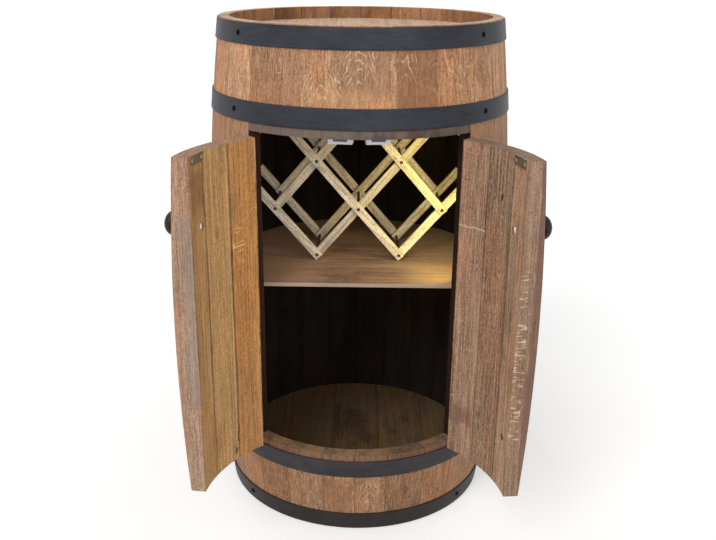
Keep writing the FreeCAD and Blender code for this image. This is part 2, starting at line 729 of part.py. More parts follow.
KNOB_ANGLE = size("dims.knob_angle")
KNOB_HEIGHT = size(LIP + " - dims.knob_drop")
neck_radius = size("dims.knob_neck_radius")
knob_seat = math.sqrt(outer_radius(KNOB_HEIGHT + neck_radius) ** 2 - neck_radius ** 2)
DOME_FOOT = "(dims.knob_depth - dims.knob_dome_height)"
DOME_CENTRE = ("0", "(dims.knob_flat_radius^2 + dims.knob_depth^2 - dims.knob_radius^2 - %s^2)"
                    " / (2 * dims.knob_dome_height)" % DOME_FOOT)
knob = turned_body("knob_solid", (
    ("dims.bolt_radius", "0"),
    ("dims.knob_neck_radius", "0"),
    ("dims.knob_waist_radius", "dims.knob_neck_length"),
    ("dims.knob_radius", "dims.knob_neck_length + dims.knob_flare"),
    ("dims.knob_radius", DOME_FOOT),
    ("dims.knob_flat_radius", "dims.knob_depth"),
    ("0", "dims.knob_depth"),
    ("0", "dims.bolt_thread_depth"),
    ("dims.bolt_radius", "dims.bolt_thread_depth"),
), arcs={4: DOME_CENTRE})
knob_place = FreeCAD.Placement(at(KNOB_ANGLE, knob_seat, KNOB_HEIGHT),
                               turned_to(KNOB_ANGLE) * FreeCAD.Rotation(Vector(0, 1, 0), 90))
closed_door["knob"] = copies("knob", knob, [knob_place])

bolt_head = cylinder("bolt_head", "dims.bolt_head_radius", "dims.bolt_head_height")
bolt_shank = cylinder("bolt_shank", "dims.bolt_radius", "%.9g + dims.bolt_thread_depth"
                      % (knob_seat - size(WALL)))
bind(bolt_shank, **{"Placement.Base.z": "dims.bolt_head_height"})
bolt = fuse("bolt", bolt_head, bolt_shank)
bolt_place = FreeCAD.Placement(
    at(KNOB_ANGLE, size(WALL + " - dims.bolt_head_height"), KNOB_HEIGHT),
    turned_to(KNOB_ANGLE) * FreeCAD.Rotation(Vector(0, 1, 0), 90))
closed_door["knob_bolt"] = copies("knob_bolt", bolt, [bolt_place])
closed_door["door_screws"] = group("door_screws", [door_edge_screws, strike_screws])

# --- door boards, cut from the same staves as the wall ---------------------------------------

knob_spot = cylinder("knob_spot", "dims.knob_neck_radius", "dims.knob_neck_length")
knob_spot.Placement = knob_place
door_holes = group("door_holes", [closed_door["door_screws"], closed_door["knob_bolt"],
                                  knob_spot])
door_wall = cut("door_wall", wall, door_holes)
meeting_edge = math.degrees(math.asin(size("dims.door_meeting_gap / 2 / dims.bilge_radius")))
door_joints = (meeting_edge,) + board_joints[1:3] + (DOOR_EDGE,)
for number, board in enumerate(BOARD_NAMES):
    name = "door_%s_board" % board
    piece = wedge(name + "_wedge", door_joints[number], door_joints[number + 1],
                  "(dims.sill_height + dims.door_clearance)",
                  "(%s - dims.door_clearance)" % LIP)
    closed_door["%s_board" % board] = common(name, door_wall, piece)


def swung(angle):
    """Return the placement that swings a shut door about its pins, positive seen from above."""
    pin = at(math.copysign(PIN_ANGLE, angle), size(PIN_RADIUS), 0)
    turn = FreeCAD.Rotation(UP, angle)
    return FreeCAD.Placement(pin - turn.multVec(pin), turn)


right_swing = swung(size("dims.right_open_angle"))
left_swing = swung(-size("dims.left_open_angle"))
for piece_name, piece in closed_door.items():
    left_piece = mirrored("left_" + piece_name, piece)
    left_piece.Placement = left_swing
    keep("left_" + piece_name, left_piece)
    right_piece = copies("right_" + piece_name, piece, [right_swing])
    keep("right_" + piece_name, right_piece)

# --- shelf and light -------------------------------------------------------------------------

LIGHT_SEAT = seat("dims.light_width")
BATTERY_SEAT = seat("dims.battery_box_width")
LIGHT_ANGLE = size("dims.jamb_angle + dims.light_turn")


def on_wall(name, depth, width, height, back, foot):
    """Add a block on the wall behind the right jamb, by its flat back and its foot."""
    block = box(name, depth, width, height)
    corner = at(LIGHT_ANGLE, size("%s - (%s)" % (back, depth)), size(foot),
                -size(width) / 2)
    return place(block, corner, turned_to(LIGHT_ANGLE))


keep("led_battery_box", on_wall("led_battery_box", "dims.battery_box_depth",
                                "dims.battery_box_width", "dims.battery_box_length",
                                BATTERY_SEAT, LIP))
keep("led_strip", on_wall("led_strip", "dims.light_thickness", "dims.light_width",
                          LIP + " - dims.light_foot", LIGHT_SEAT,
                          "dims.light_foot"))

shelf_disc = cylinder("shelf_disc", WALL + " - dims.shelf_clearance", "dims.shelf_thickness")
place(shelf_disc, Vector(0, 0, size(SHELF_FOOT)))
shelf_front_cut = box("shelf_front_cut", "2 * " + WALL, "dims.shelf_setback", TOP)
place(shelf_front_cut, Vector(-size(WALL), -size(WALL), 0))
light_notch = on_wall("light_notch", "dims.light_thickness + 2 * dims.light_notch_clearance",
                      "dims.light_width + 2 * dims.light_notch_clearance", TOP,
                      LIGHT_SEAT + " + dims.light_notch_clearance", "0")
keep("shelf", cut("shelf", cut("shelf_board", shelf_disc, shelf_front_cut), light_notch))

# --- wine rack -------------------------------------------------------------------------------

slat_slope = math.radians(size("dims.rack_slope"))
half_slat = size("dims.slat_width / 2")
tip_drop = (size("dims.slat_tip") * math.sin(slat_slope) + half_slat * math.cos(slat_slope))
rack_foot = size(SHELF_TOP + " + dims.rack_clearance") + tip_drop
rack_head = size(TOP_HEAD_FOOT + " - dims.rack_top_gap") - tip_drop
row_pitch = (rack_head - rack_foot) / (RACK_ROWS - 1)
column = row_pitch / math.tan(slat_slope)
rack_front = -size("dims.rack_front")
half_room = (size("sqrt(%s^2 - (dims.rack_depth - dims.rack_front)^2)" % WALL)
             - size("dims.rack_wall_gap"))
slat_reach = ((half_room - 2 * column - half_slat * math.sin(slat_slope))
              / math.cos(slat_slope))


def rack_point(column_number, row_number):
    """Return the pin's place at a column from the middle and a row from the bottom."""
    return Vector(column_number * column, rack_front, rack_foot + row_number * row_pitch)


# Falling slats run down to the right: lower pin, number of spans, which end reaches the wall.
FALLING_SLATS = (
    ((-1, 0), 1, "upper"),
    ((1, 0), 3, ""),
    ((2, 1), 3, ""),
    ((2, 3), 1, "lower"),
)


def slat(name, lower_pin, spans, reach_end, rising):
    """Add one slat of the front lattice; a rising slat mirrors a falling one."""
    span = math.hypot(column, row_pitch)
    tip = size("dims.slat_tip")
    lower_tip = slat_reach if reach_end == "lower" else tip
    upper_tip = slat_reach if reach_end == "upper" else tip
    length = lower_tip + spans * span + upper_tip
    piece = box(name, "%.9g" % length, "dims.slat_thickness", "dims.slat_width")
    turn = FreeCAD.Rotation(Vector(0, 1, 0), 180 + math.degrees(slat_slope))
    offset = Vector(-lower_tip, 0, -half_slat)
    place(piece, rack_point(*lower_pin) + turn.multVec(offset), turn)
    if rising:
        return mirrored(name + "_rising", piece)
    return piece


rack_pins = []
for row_number in range(RACK_ROWS):
    columns = (-2, 0, 2) if row_number % 2 else (-1, 1)
    for column_number in columns:
        pin = cylinder("rack_pin_%d_%d" % (row_number, column_number + 2),
                       "dims.rack_pin_radius", "dims.rack_depth")
        rack_pins.append(place(pin, rack_point(column_number, row_number),
                               FreeCAD.Rotation(Vector(1, 0, 0), -90)))
keep("rack_pins", group("rack_pins", rack_pins))

slat_layers = (
    ("rack_front_falling_slats", False, 0),
    ("rack_front_rising_slats", True, size("dims.slat_thickness")),
    ("rack_rear_rising_slats", True, size("dims.rack_depth - 2 * dims.slat_thickness")),
    ("rack_rear_falling_slats", False, size("dims.rack_depth - dims.slat_thickness")),
)
for layer, rising, depth in slat_layers:
    slats = [slat("%s_%d" % (layer, number), pin, spans, reach_end, rising)
             for number, (pin, spans, reach_end) in enumerate(FALLING_SLATS, start=1)]
    moved = group(layer + "_set", slats)
    place(moved, Vector(0, depth, 0))
    keep(layer, cut(layer, moved, nodes["rack_pins"]))

# --- check every object, then write each node ------------------------------------------------

doc.recompute()
for obj in doc.Objects:
    if "Invalid" in obj.State or "Error" in obj.State:
        raise RuntimeError("failed object: %s %s" % (obj.Name, obj.State))
for name, obj in nodes.items():
    shape = Part.getShape(obj)
    if shape.isNull() or not shape.isValid() or not shape.Solids:
        raise RuntimeError("bad shape: " + name)

os.makedirs("parts", exist_ok=True)
for name, obj in nodes.items():
    shape = Part.getShape(obj)
    shape.exportStep("parts/%s.step" % name)
    print("%-28s %2d solids %12.1f mm3" % (name, len(shape.Solids), shape.Volume))
print(len(nodes), "nodes")
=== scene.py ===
"""Barrel bar cabinet: the looks of its oak, hoops, doors, shelf, wine rack, catches and light.

Every piece is in metres. Z is up, the opening faces -Y and X is to the right of someone who stands
in front of it. Angles round the barrel are measured from its front, positive to the right.
"""
import logging
import math
import random
from dataclasses import dataclass, field, fields, replace
from enum import Enum
from functools import cache
from typing import Any, Callable, Optional, Sequence

import bmesh
import bpy
import numpy as np
from mathutils import Matrix, Vector


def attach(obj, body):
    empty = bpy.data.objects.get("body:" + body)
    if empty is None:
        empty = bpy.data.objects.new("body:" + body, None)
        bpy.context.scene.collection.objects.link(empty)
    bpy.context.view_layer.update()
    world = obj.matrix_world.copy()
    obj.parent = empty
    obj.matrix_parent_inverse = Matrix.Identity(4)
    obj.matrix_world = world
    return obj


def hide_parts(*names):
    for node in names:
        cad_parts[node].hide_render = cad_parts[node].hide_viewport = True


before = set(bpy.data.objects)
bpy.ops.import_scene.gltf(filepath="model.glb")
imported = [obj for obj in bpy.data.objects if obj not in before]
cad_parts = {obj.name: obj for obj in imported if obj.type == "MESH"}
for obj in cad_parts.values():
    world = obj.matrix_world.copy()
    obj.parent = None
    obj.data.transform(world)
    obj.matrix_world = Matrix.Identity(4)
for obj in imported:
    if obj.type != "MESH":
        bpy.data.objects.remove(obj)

LOG = logging.getLogger("bar_cabinet")
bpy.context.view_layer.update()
CABINET = "cabinet"
UP = Vector((0, 0, 1))
FORWARD = Vector((0, -1, 0))

Colour = tuple[int, int, int]


def linear(colour: Colour) -> tuple[float, float, float, float]:
    """Return a colour of 0 to 255 as the linear colour that shaders take."""
    parts = [part / 255 for part in colour]
    return (*[part / 12.92 if part <= 0.04045 else ((part + 0.055) / 1.055) ** 2.4
              for part in parts], 1.0)


# --- node trees ------------------------------------------------------------------------------

class Kind(Enum):
    """The kinds of socket that the trees take and give."""

    NUMBER = "NodeSocketFloat"
    COUNT = "NodeSocketInt"
    VECTOR = "NodeSocketVector"
    COLOUR = "NodeSocketColor"
    MATERIAL = "NodeSocketMaterial"
    GEOMETRY = "NodeSocketGeometry"


class Value:
    """A socket of a tree. Python's operators on it add Math nodes, or Vector Math nodes."""

    def __init__(self, graph: "Graph", socket: bpy.types.NodeSocket) -> None:
        """Hold a socket."""
        self.graph = graph
        self.socket = socket

    def reckon(self, operation: str, first: Any, second: Any) -> "Value":
        """Return the result of an operation on two values.

        Args:
            operation: The node's operation.
            first: A value, a number or a tuple.
            second: The same.

        Returns:
            A vector if either of the two is a vector, a colour or a tuple, else a number.
        """
        wide = any(isinstance(part, tuple) or isinstance(part, Value)
                   and part.socket.type in ("VECTOR", "RGBA") for part in (first, second))
        return (self.graph.vector if wide else self.graph.math)(operation, first, second)

    def __add__(self, other: Any) -> "Value":
        """Return the sum."""
        return self.reckon("ADD", self, other)

    def __sub__(self, other: Any) -> "Value":
        """Return the difference."""
        return self.reckon("SUBTRACT", self, other)

    def __rsub__(self, other: Any) -> "Value":
        """Return the difference from a plain number."""
        return self.reckon("SUBTRACT", other, self)

    def __mul__(self, other: Any) -> "Value":
        """Return the product."""
        return self.reckon("MULTIPLY", self, other)

    def __truediv__(self, other: Any) -> "Value":
        """Return the quotient."""
        return self.reckon("DIVIDE", self, other)

    def __pow__(self, power: float) -> "Value":
        """Return the power."""
        return self.graph.math("POWER", self, power)

    def __abs__(self) -> "Value":
        """Return the size without its sign."""
        return self.graph.math("ABSOLUTE", self)

    def __gt__(self, other: Any) -> "Value":
        """Return 1 where the value is more, else 0."""
        return self.graph.math("GREATER_THAN", self, other)

    def __lt__(self, other: Any) -> "Value":
        """Return 1 where the value is less, else 0."""
        return self.graph.math("LESS_THAN", self, other)


class Graph:
    """Adds nodes to a node tree and links them."""

    def __init__(self, tree: bpy.types.NodeTree) -> None:
        """Work on a tree."""
        self.tree = tree

    def add(self, kind: str, inputs: Optional[dict] = None, **settings: Any) -> bpy.types.Node:
        """Add a node.

        Args:
            kind: The node's type.
            inputs: What feeds its sockets, by name or number: values, nodes or plain numbers.
            settings: The node's own properties.

        Returns:
            The node.
        """
        node = self.tree.nodes.new(kind)
        for name, value in settings.items():
            setattr(node, name, value)
        for name, value in (inputs or {}).items():
            if isinstance(name, int):
                self.feed(node.inputs[name], value)
                continue
            found = [socket for socket in node.inputs if socket.name == name]
            self.feed(next((socket for socket in found if socket.enabled), found[0]), value)
        return node

    def feed(self, socket: bpy.types.NodeSocket, value: Any) -> None:
        """Link something to a socket, or set the socket's value.

        Args:
            socket: The socket to feed.
            value: A value, a socket, a node whose first output is meant, or a plain value.
        """
        if isinstance(value, Value):
            value = value.socket
        if isinstance(value, bpy.types.Node):
            value = value.outputs[0]
        if isinstance(value, bpy.types.NodeSocket):
            self.tree.links.new(value, socket)
        elif socket.type == "VECTOR" and isinstance(value, (int, float)):
            socket.default_value = (value,) * 3
        else:
            socket.default_value = value

    def close(self, **results: Any) -> bpy.types.NodeTree:
        """Feed a node group's outputs.

        Args:
            results: What feeds each output, by name.

        Returns:
            The group's tree.
        """
        last = self.tree.nodes.new("NodeGroupOutput")
        for name, value in results.items():
            self.feed(last.inputs[name], value)
        return self.tree

    def math(self, operation: str, *values: Any, clamp: bool = False) -> Value:
        """Return the result of a Math node."""
        return Value(self, self.add("ShaderNodeMath", dict(enumerate(values)),
                                    operation=operation, use_clamp=clamp).outputs[0])

    def vector(self, operation: str, *values: Any) -> Value:
        """Return the vector result of a Vector Math node."""
        return Value(self, self.add("ShaderNodeVectorMath", dict(enumerate(values)),
                                    operation=operation).outputs[0])

    def combine(self, x: Any, y: Any, z: Any) -> Value:
        """Return a vector of three numbers."""
        return Value(self, self.add("ShaderNodeCombineXYZ", {0: x, 1: y, 2: z}).outputs[0])

    def split(self, vector: Any) -> list[Value]:
        """Return a vector's three numbers."""
        node = self.add("ShaderNodeSeparateXYZ", {0: vector})
        return [Value(self, socket) for socket in node.outputs]

    def span(self, value: Any, low: float, high: float, start: float = 0.0, end: float = 1.0,
             smooth: bool = True) -> Value:
        """Return a value's place between two limits.

        Args:
            value: The value.
            low: The lower limit.
            high: The upper limit.
            start: The result at the lower limit and below.
            end: The result at the upper limit and above.
            smooth: Whether the result eases in and out.

        Returns:
            A number from start to end.
        """
        node = self.add("ShaderNodeMapRange", {0: value, 1: low, 2: high, 3: start, 4: end},
                        interpolation_type="SMOOTHSTEP" if smooth else "LINEAR")
        return Value(self, node.outputs[0])

    def mix(self, factor: Any, first: Any, second: Any) -> Value:
        """Return the mix of two colours."""
        node = self.add("ShaderNodeMix", {0: factor, 6: first, 7: second}, data_type="RGBA")
        return Value(self, node.outputs[2])

    def noise(self, place: Any, stretch: Any, detail: float = 2.0, rough: float = 0.5,
              distortion: float = 0.0, output: int = 0) -> Value:
        """Return the noise at a place.

        Args:
            place: The place.
            stretch: How many times the noise repeats in a metre, along each axis.
            detail: The noise's own detail.
            rough: Its roughness.
            distortion: Its distortion.
            output: 0 for a number and 1 for a colour.

        Returns:
            The noise.
        """
        node = self.add("ShaderNodeTexNoise", {
            "Vector": self.vector("MULTIPLY", place, stretch), "Scale": 1.0,
            "Detail": detail, "Roughness": rough, "Distortion": distortion})
        return Value(self, node.outputs[output])

    def stored(self, name: str, data_type: str = "FLOAT") -> Value:
        """Return a named attribute in a geometry tree."""
        return Value(self, self.add("GeometryNodeInputNamedAttribute", {"Name": name},
                                    data_type=data_type).outputs[0])

    def store(self, geometry: Any, name: str, value: Any, data_type: str = "FLOAT"
              ) -> bpy.types.Node:
        """Store a value on a geometry's points under a name."""
        return self.add("GeometryNodeStoreNamedAttribute",
                        {"Geometry": geometry, "Name": name, "Value": value},
                        data_type=data_type, domain="POINT")

    def moved(self, geometry: Any, **how: Any) -> bpy.types.Node:
        """Move, turn or scale a geometry."""
        return self.add("GeometryNodeTransform", {"Geometry": geometry, **how})

    def joined(self, *shapes: Any) -> bpy.types.Node:
        """Join geometries.

        Args:
            shapes: The geometries.

        Returns:
            The node that joins them.
        """
        node = self.add("GeometryNodeJoinGeometry")
        for shape in shapes:
            self.feed(node.inputs[0], shape)
        return node

    def cut(self, shape: Any, *tools: Any) -> bpy.types.Node:
        """Cut tools out of a geometry.

        Args:
            shape: The geometry.
            tools: What is cut out of it.

        Returns:
            The node that cuts it.
        """
        node = self.add("GeometryNodeMeshBoolean", {0: shape}, operation="DIFFERENCE",
                        solver="EXACT")
        for tool in tools:
            self.feed(node.inputs[1], tool)
        return node


def new_tree(kind: str, name: str, numbers: dict[str, float], others: dict[str, Kind],
             outputs: dict[str, Kind]) -> tuple[Graph, dict[str, Value]]:
    """Start a node group.

    Args:
        kind: ShaderNodeTree or GeometryNodeTree.
        name: The group's name.
        numbers: The default of each input that is a number; a whole number is a count.
        others: The kind of each other input, by name.
        outputs: The kind of each output, by name.

    Returns:
        The graph and the group's inputs by name.
    """
    tree = bpy.data.node_groups.new(name, kind)
    for label, socket in others.items():
        tree.interface.new_socket(name=label, in_out="INPUT", socket_type=socket.value)
    for label, default in numbers.items():
        socket = Kind.COUNT if isinstance(default, int) else Kind.NUMBER
        made = tree.interface.new_socket(name=label, in_out="INPUT", socket_type=socket.value)
        made.default_value = default
    for label, socket in outputs.items():
        tree.interface.new_socket(name=label, in_out="OUTPUT", socket_type=socket.value)
    graph = Graph(tree)
    given = tree.nodes.new("NodeGroupInput").outputs
    return graph, {socket.name: Value(graph, socket) for socket in given if socket.name}


# --- effects that several materials share ----------------------------------------------------

def effect(name: str, numbers: dict[str, float], colours: Sequence[str],
           vectors: Sequence[str]) -> tuple[Graph, dict[str, Value]]:
    """Start the group of an effect, which gives a colour, a roughness and a height.

    Args:
        name: The group's name.
        numbers: The default of each input that is a number.
        colours: The names of the inputs that are colours.
        vectors: The names of the inputs that are vectors.

    Returns:
        The graph and the group's inputs by name.
    """
    others = {label: Kind.VECTOR for label in vectors} | {label: Kind.COLOUR
                                                          for label in colours}
    return new_tree("ShaderNodeTree", name, numbers, others, {
        "Color": Kind.COLOUR, "Roughness": Kind.NUMBER, "Height": Kind.NUMBER})


@cache
def wood_grain() -> bpy.types.NodeTree:
    """Make the group that draws a board's fibres, bands, flecks, pores, knots and stains.

    Returns:
        The group, which is made once.
    """
    graph, given = effect("wood grain", {
        "Board": 0.5, "Seam": 1.0, "Fibre": 0.5, "Bands": 0.5, "Figure": 0.2, "Pores": 0.5,
        "Flecks": 0.5, "Knots": 0.5, "Stain": 0.5, "Tone": 0.2, "Gap": 0.3, "Matt": 0.6,
        "Specks": 0.3}, ("Ground", "Shade", "Glow", "Fleck"), ("Place",))
    board, shade, fleck = given["Board"], given["Shade"], given["Fleck"]
    place = given["Place"] + board * (13.1, 7.7, 5.3)
    sway = graph.noise(place, (6, 6, 2.2), output=1) - (0.5, 0.5, 0.5)
    bent = place + sway * (0.014, 0.014, 0.0)

    fibre = (graph.noise(bent, (190, 190, 3.0), 3, 0.65) * 0.8
             + graph.noise(bent, (460, 460, 7.5), 3, 0.7) * 1.2
             + graph.noise(bent, (900, 900, 42), 2, 0.6) * 0.8
             + graph.noise(place, (620, 620, 300), 2, 0.6) * 1.2) * 0.25
    bands = graph.span(graph.noise(bent, (46, 46, 1.3), 3, 0.6), 0.42, 0.62)
    rings = graph.noise(bent, (10, 10, 1.4), 1) * 80.0
    figure = abs(graph.math("SINE", rings)) ** 5.0
    warm = graph.span(graph.noise(place + (5.1, 0, 0), (12, 12, 6), 4, 0.6), 0.46, 0.6)
    dull = graph.span(graph.noise(place + (0, 9.3, 0), (10, 10, 6), 4, 0.6), 0.52, 0.66)
    curl = graph.noise(place, (21, 21, 11), 2, 0.45, 0.7) * 7.0
    line = graph.span(graph.math("PINGPONG", curl, 0.5), 0.0, 0.085, 1.0, 0.0)
    broken = graph.span(graph.noise(place, (120, 120, 60)), 0.38, 0.52)
    patch = graph.span(graph.noise(place + (0, 0, 3.7), (9, 9, 8)), 0.52, 0.58)
    flecks = line * broken * patch
    pores = graph.span(graph.noise(bent, (1250, 1250, 62)), 0.6, 0.7)
    specks = graph.span(graph.noise(bent, (560, 560, 120), 2, 0.6), 0.56, 0.66)
    cells = graph.add("ShaderNodeTexVoronoi", {"Vector": place * (17, 17, 8), "Scale": 1.0})
    chosen = graph.split(cells.outputs[1])[0] > 0.94
    knots = chosen * graph.span(cells.outputs[0], 0.03, 0.15, 1.0, 0.0)

    tint = graph.mix(bands * given["Bands"], given["Ground"], shade)
    tint = graph.mix(warm * given["Stain"], tint, given["Glow"])
    tint = graph.mix(dull * given["Stain"], tint, shade)
    tint = graph.mix(figure * given["Figure"], tint, shade)
    light = graph.math("MAXIMUM", (fibre - 0.5) * given["Fibre"] * 7.0 + 1.0, 0.12)
    tone = (board - 0.5) * given["Tone"] + 1.0
    ragged = graph.noise(place, (90, 90, 16), 3) * 0.004 - 0.002
    near = graph.span(given["Seam"] + ragged, 0.0003, 0.0019, 1.0, 0.0)
    seam = 1.0 - near * given["Gap"]
    tint = tint * (light * tone * seam)
    tint = graph.mix(specks * given["Specks"], tint, fleck)
    tint = graph.mix(flecks * given["Flecks"], tint, fleck)
    tint = tint * ((seam - 1.0) * 0.6 + 1.0)
    deep = shade * 0.42
    tint = graph.mix(pores * given["Pores"], tint, deep)
    tint = graph.mix(knots * given["Knots"], tint, deep)
    return graph.close(
        Color=tint, Roughness=given["Matt"] + (fibre * 0.4 - 0.2) + flecks * -0.12,
        Height=fibre + graph.math("MAXIMUM", pores, knots) * -0.5 + bands * 0.2)


@cache
def worn_paint() -> bpy.types.NodeTree:
    """Make the group that mottles a painted or bare metal face and wears it at its edges.

    Returns:
        The group, which is made once.
    """
    graph, given = effect("worn paint", {"Edge": 1.0, "Mottle": 0.2, "Wear": 0.3, "Matt": 0.45},
                          ("Ground", "Worn"), ("Place", "Brush"))
    place = given["Place"]
    cloud = graph.noise(place, (18, 18, 26), 4, 0.6)
    speck = graph.noise(place, (420, 420, 420), 2, 0.6)
    change = cloud + graph.noise(place, given["Brush"]) * 0.5 - 0.75
    tint = given["Ground"] * (change * given["Mottle"] * 3.0 + 1.0)
    near = graph.span(given["Edge"], 0.0, 0.0016, 1.0, 0.0)
    broken = graph.span(graph.noise(place, (70, 70, 70), 4, 0.7), 0.42, 0.62)
    scuff = graph.span(graph.noise(place, (150, 150, 34), 4, 0.75), 0.68, 0.74)
    worn = graph.math("MAXIMUM", near * broken, scuff * 0.5) * given["Wear"]
    return graph.close(Color=graph.mix(worn, tint, given["Worn"]),
                       Roughness=given["Matt"] + (cloud * 0.3 - 0.15), Height=speck + cloud)


# --- marks on wood ---------------------------------------------------------------------------

class Axis(Enum):
    """The directions of a board's own coordinates."""

    ACROSS = 0
    THROUGH = 1


@dataclass(frozen=True)
class Mark:
    """Something drawn on a wooden face, between two limits across it and two up it."""

    colour: Colour
    low: float
    high: float
    foot: float = 0.0
    top: float = 0.8
    amount: float = 0.7
    axis: Axis = Axis.ACROSS
    soft: float = 0.0015

    def draw(self, graph: Graph, place: Any, tint: Any) -> Value:
        """Return a face's colour with the mark drawn over it."""
        return graph.mix(self.cover(graph, place), tint, linear(self.colour))

    def cover(self, graph: Graph, place: Any) -> Value:
        """Return how much of the mark's colour a place takes."""
        return self.window(graph, place) * self.amount

    def middle(self, graph: Graph, place: Any) -> Value:
        """Return how far a place is to the side of the mark's middle, 1 at its limits."""
        half = (self.high - self.low) / 2
        return (graph.split(place)[self.axis.value] - (self.low + self.high) / 2) / half

    def window(self, graph: Graph, place: Any) -> Value:
        """Return where the mark is.

        Args:
            graph: The material's graph.
            place: The board's own coordinates.

        Returns:
            1 inside the mark's limits and 0 outside, with soft uneven edges.
        """
        parts = graph.split(place)
        wander = graph.noise(place, (30, 30, 12), 3, 0.6) * (6 * self.soft) - 3 * self.soft
        across = parts[self.axis.value] + wander
        up = wander * 2.0 + parts[2]
        rise = 4 * self.soft
        return (graph.span(across, self.low, self.low + self.soft)
                * graph.span(across, self.high - self.soft, self.high, 1.0, 0.0)
                * (graph.span(up, self.foot, self.foot + rise)
                   * graph.span(up, self.top - rise, self.top, 1.0, 0.0)))


@dataclass(frozen=True)
class Rungs(Mark):
    """A column of short pale rays across the grain, as on a radial face of oak."""

    pitch: float = 230.0

    def cover(self, graph: Graph, place: Any) -> Value:
        """Return how much of the rays' colour a place takes.

        Args:
            graph: The material's graph.
            place: The board's own coordinates.

        Returns:
            A number from 0 to the mark's amount.
        """
        stretch = [0.0, 0.0, self.pitch]
        stretch[self.axis.value] = 45.0
        rays = graph.span(graph.noise(place, tuple(stretch), 1.0, 0.5, 0.4), 0.53, 0.6)
        gaps = graph.span(graph.noise(place, (0, 0, 24)), 0.4, 0.48)
        return rays * gaps * self.window(graph, place) * self.amount


@dataclass(frozen=True)
class Arches(Mark):
    """Pale arches one inside another, as where a board is cut across its rings."""

    count: float = 5.0

    def cover(self, graph: Graph, place: Any) -> Value:
        """Return how much of the arches' colour a place takes.

        Args:
            graph: The material's graph.
            place: The board's own coordinates.

        Returns:
            A number from 0 to the mark's amount.
        """
        rise = (graph.split(place)[2] - self.foot) / (self.top - self.foot)
        sway = graph.noise(place, (70, 70, 45), 3, 0.6) * 0.7 - 0.35
        level = abs(self.middle(graph, place)) ** 1.7 * 0.7 + rise + sway
        line = graph.span(graph.math("PINGPONG", level * self.count, 0.5), 0.0, 0.17, 1.0, 0.0)
        broken = graph.span(graph.noise(place, (150, 150, 80)), 0.38, 0.52)
        return line * broken * self.window(graph, place) * self.amount


@dataclass(frozen=True)
class Knot(Mark):
    """A dark knot that fills the mark's limits, with a soft uneven rim."""

    def cover(self, graph: Graph, place: Any) -> Value:
        """Return how much of the knot's colour a place takes.

        Args:
            graph: The material's graph.
            place: The board's own coordinates.

        Returns:
            A number from 0 to the mark's amount.
        """
        out = self.middle(graph, place)
        rise = ((graph.split(place)[2] - (self.foot + self.top) / 2)
                / ((self.top - self.foot) / 2))
        sway = graph.noise(place, (400, 400, 300), 3) * 1.6 - 0.8
        return graph.span(out * out + rise * rise + sway, 0.25, 1.0, self.amount, 0.0)


# --- finishes --------------------------------------------------------------------------------

@dataclass(frozen=True)
class Finish:
    """What a face is finished with: the finish's name, and its colour from 0 to 255."""

    name: str
    ground: Colour

    def draw(self, graph: Graph, shader: bpy.types.Node) -> None:
        """Feed the material's shader, which each kind of finish does in its own way."""
        raise NotImplementedError

    def dress(self, graph: Graph, shader: bpy.types.Node, effect_tree: bpy.types.NodeTree,
              values: dict[str, Any], relief: float) -> bpy.types.Node:
        """Feed a shader from an effect that several materials share.

        Args:
            graph: The material's graph.
            shader: The material's shader.
            effect_tree: The effect's group. It takes the finish's values of its inputs' names.
            values: What feeds its other inputs.
            relief: The depth of its relief, in metres.

        Returns:
            The group's node.
        """
        look = graph.add("ShaderNodeGroup", values, node_tree=effect_tree)
        for part in fields(self):
            socket = look.inputs.get(part.name.capitalize())
            if socket is not None:
                value = getattr(self, part.name)
                graph.feed(socket, linear(value) if socket.type == "RGBA" else value)
        graph.feed(shader.inputs["Base Color"], look.outputs["Color"])
        graph.feed(shader.inputs["Roughness"], look.outputs["Roughness"])
        bump = graph.add("ShaderNodeBump", {"Height": look.outputs["Height"], "Distance": relief,
                                            "Strength": 1.0})
        graph.feed(shader.inputs["Normal"], bump)
        return look

    def material(self) -> bpy.types.Material:
        """Return the finish's material, made once."""
        if self.name not in bpy.data.materials:
            self.draw(*start_material(self.name))
        return bpy.data.materials[self.name]


def start_material(name: str) -> tuple[Graph, bpy.types.Node]:
    """Start a material.

    Args:
        name: The material's name.

    Returns:
        Its graph and its shader.
    """
    material = bpy.data.materials.new(name)
    material.use_nodes = True
    tree = material.node_tree
    return Graph(tree), next(node for node in tree.nodes if node.type == "BSDF_PRINCIPLED")


@dataclass(frozen=True)
class WoodFinish(Finish):
    """A wooden face: its colours, the strength of each part of its figure, and its marks."""

    shade: Colour
    glow: Colour
    fleck: Colour
    fibre: float = 0.5
    bands: float = 0.5
    figure: float = 0.15
    pores: float = 0.5
    flecks: float = 0.35
    knots: float = 0.8
    stain: float = 0.6
    tone: float = 0.25
    gap: float = 0.3
    matt: float = 0.66
    specks: float = 0.22
    gloss: float = 0.2
    relief: float = 0.0005
    marks: tuple[Mark, ...] = ()

    def draw(self, graph: Graph, shader: bpy.types.Node) -> None:
        """Draw the grain, and the marks over it.

        Args:
            graph: The material's graph.
            shader: The material's shader.
        """
        grain, board, seam = (graph.add("ShaderNodeAttribute", attribute_name=name)
                              for name in ("grain", "board", "seam"))
        place = grain.outputs["Vector"]
        look = self.dress(graph, shader, wood_grain(), {
            "Place": place, "Board": board.outputs["Fac"], "Seam": seam.outputs["Fac"],
        }, self.relief)
        shader.inputs["Specular IOR Level"].default_value = self.gloss
        tint = look.outputs["Color"]
        for one in self.marks:
            tint = one.draw(graph, place, tint)
        graph.feed(shader.inputs["Base Color"], tint)


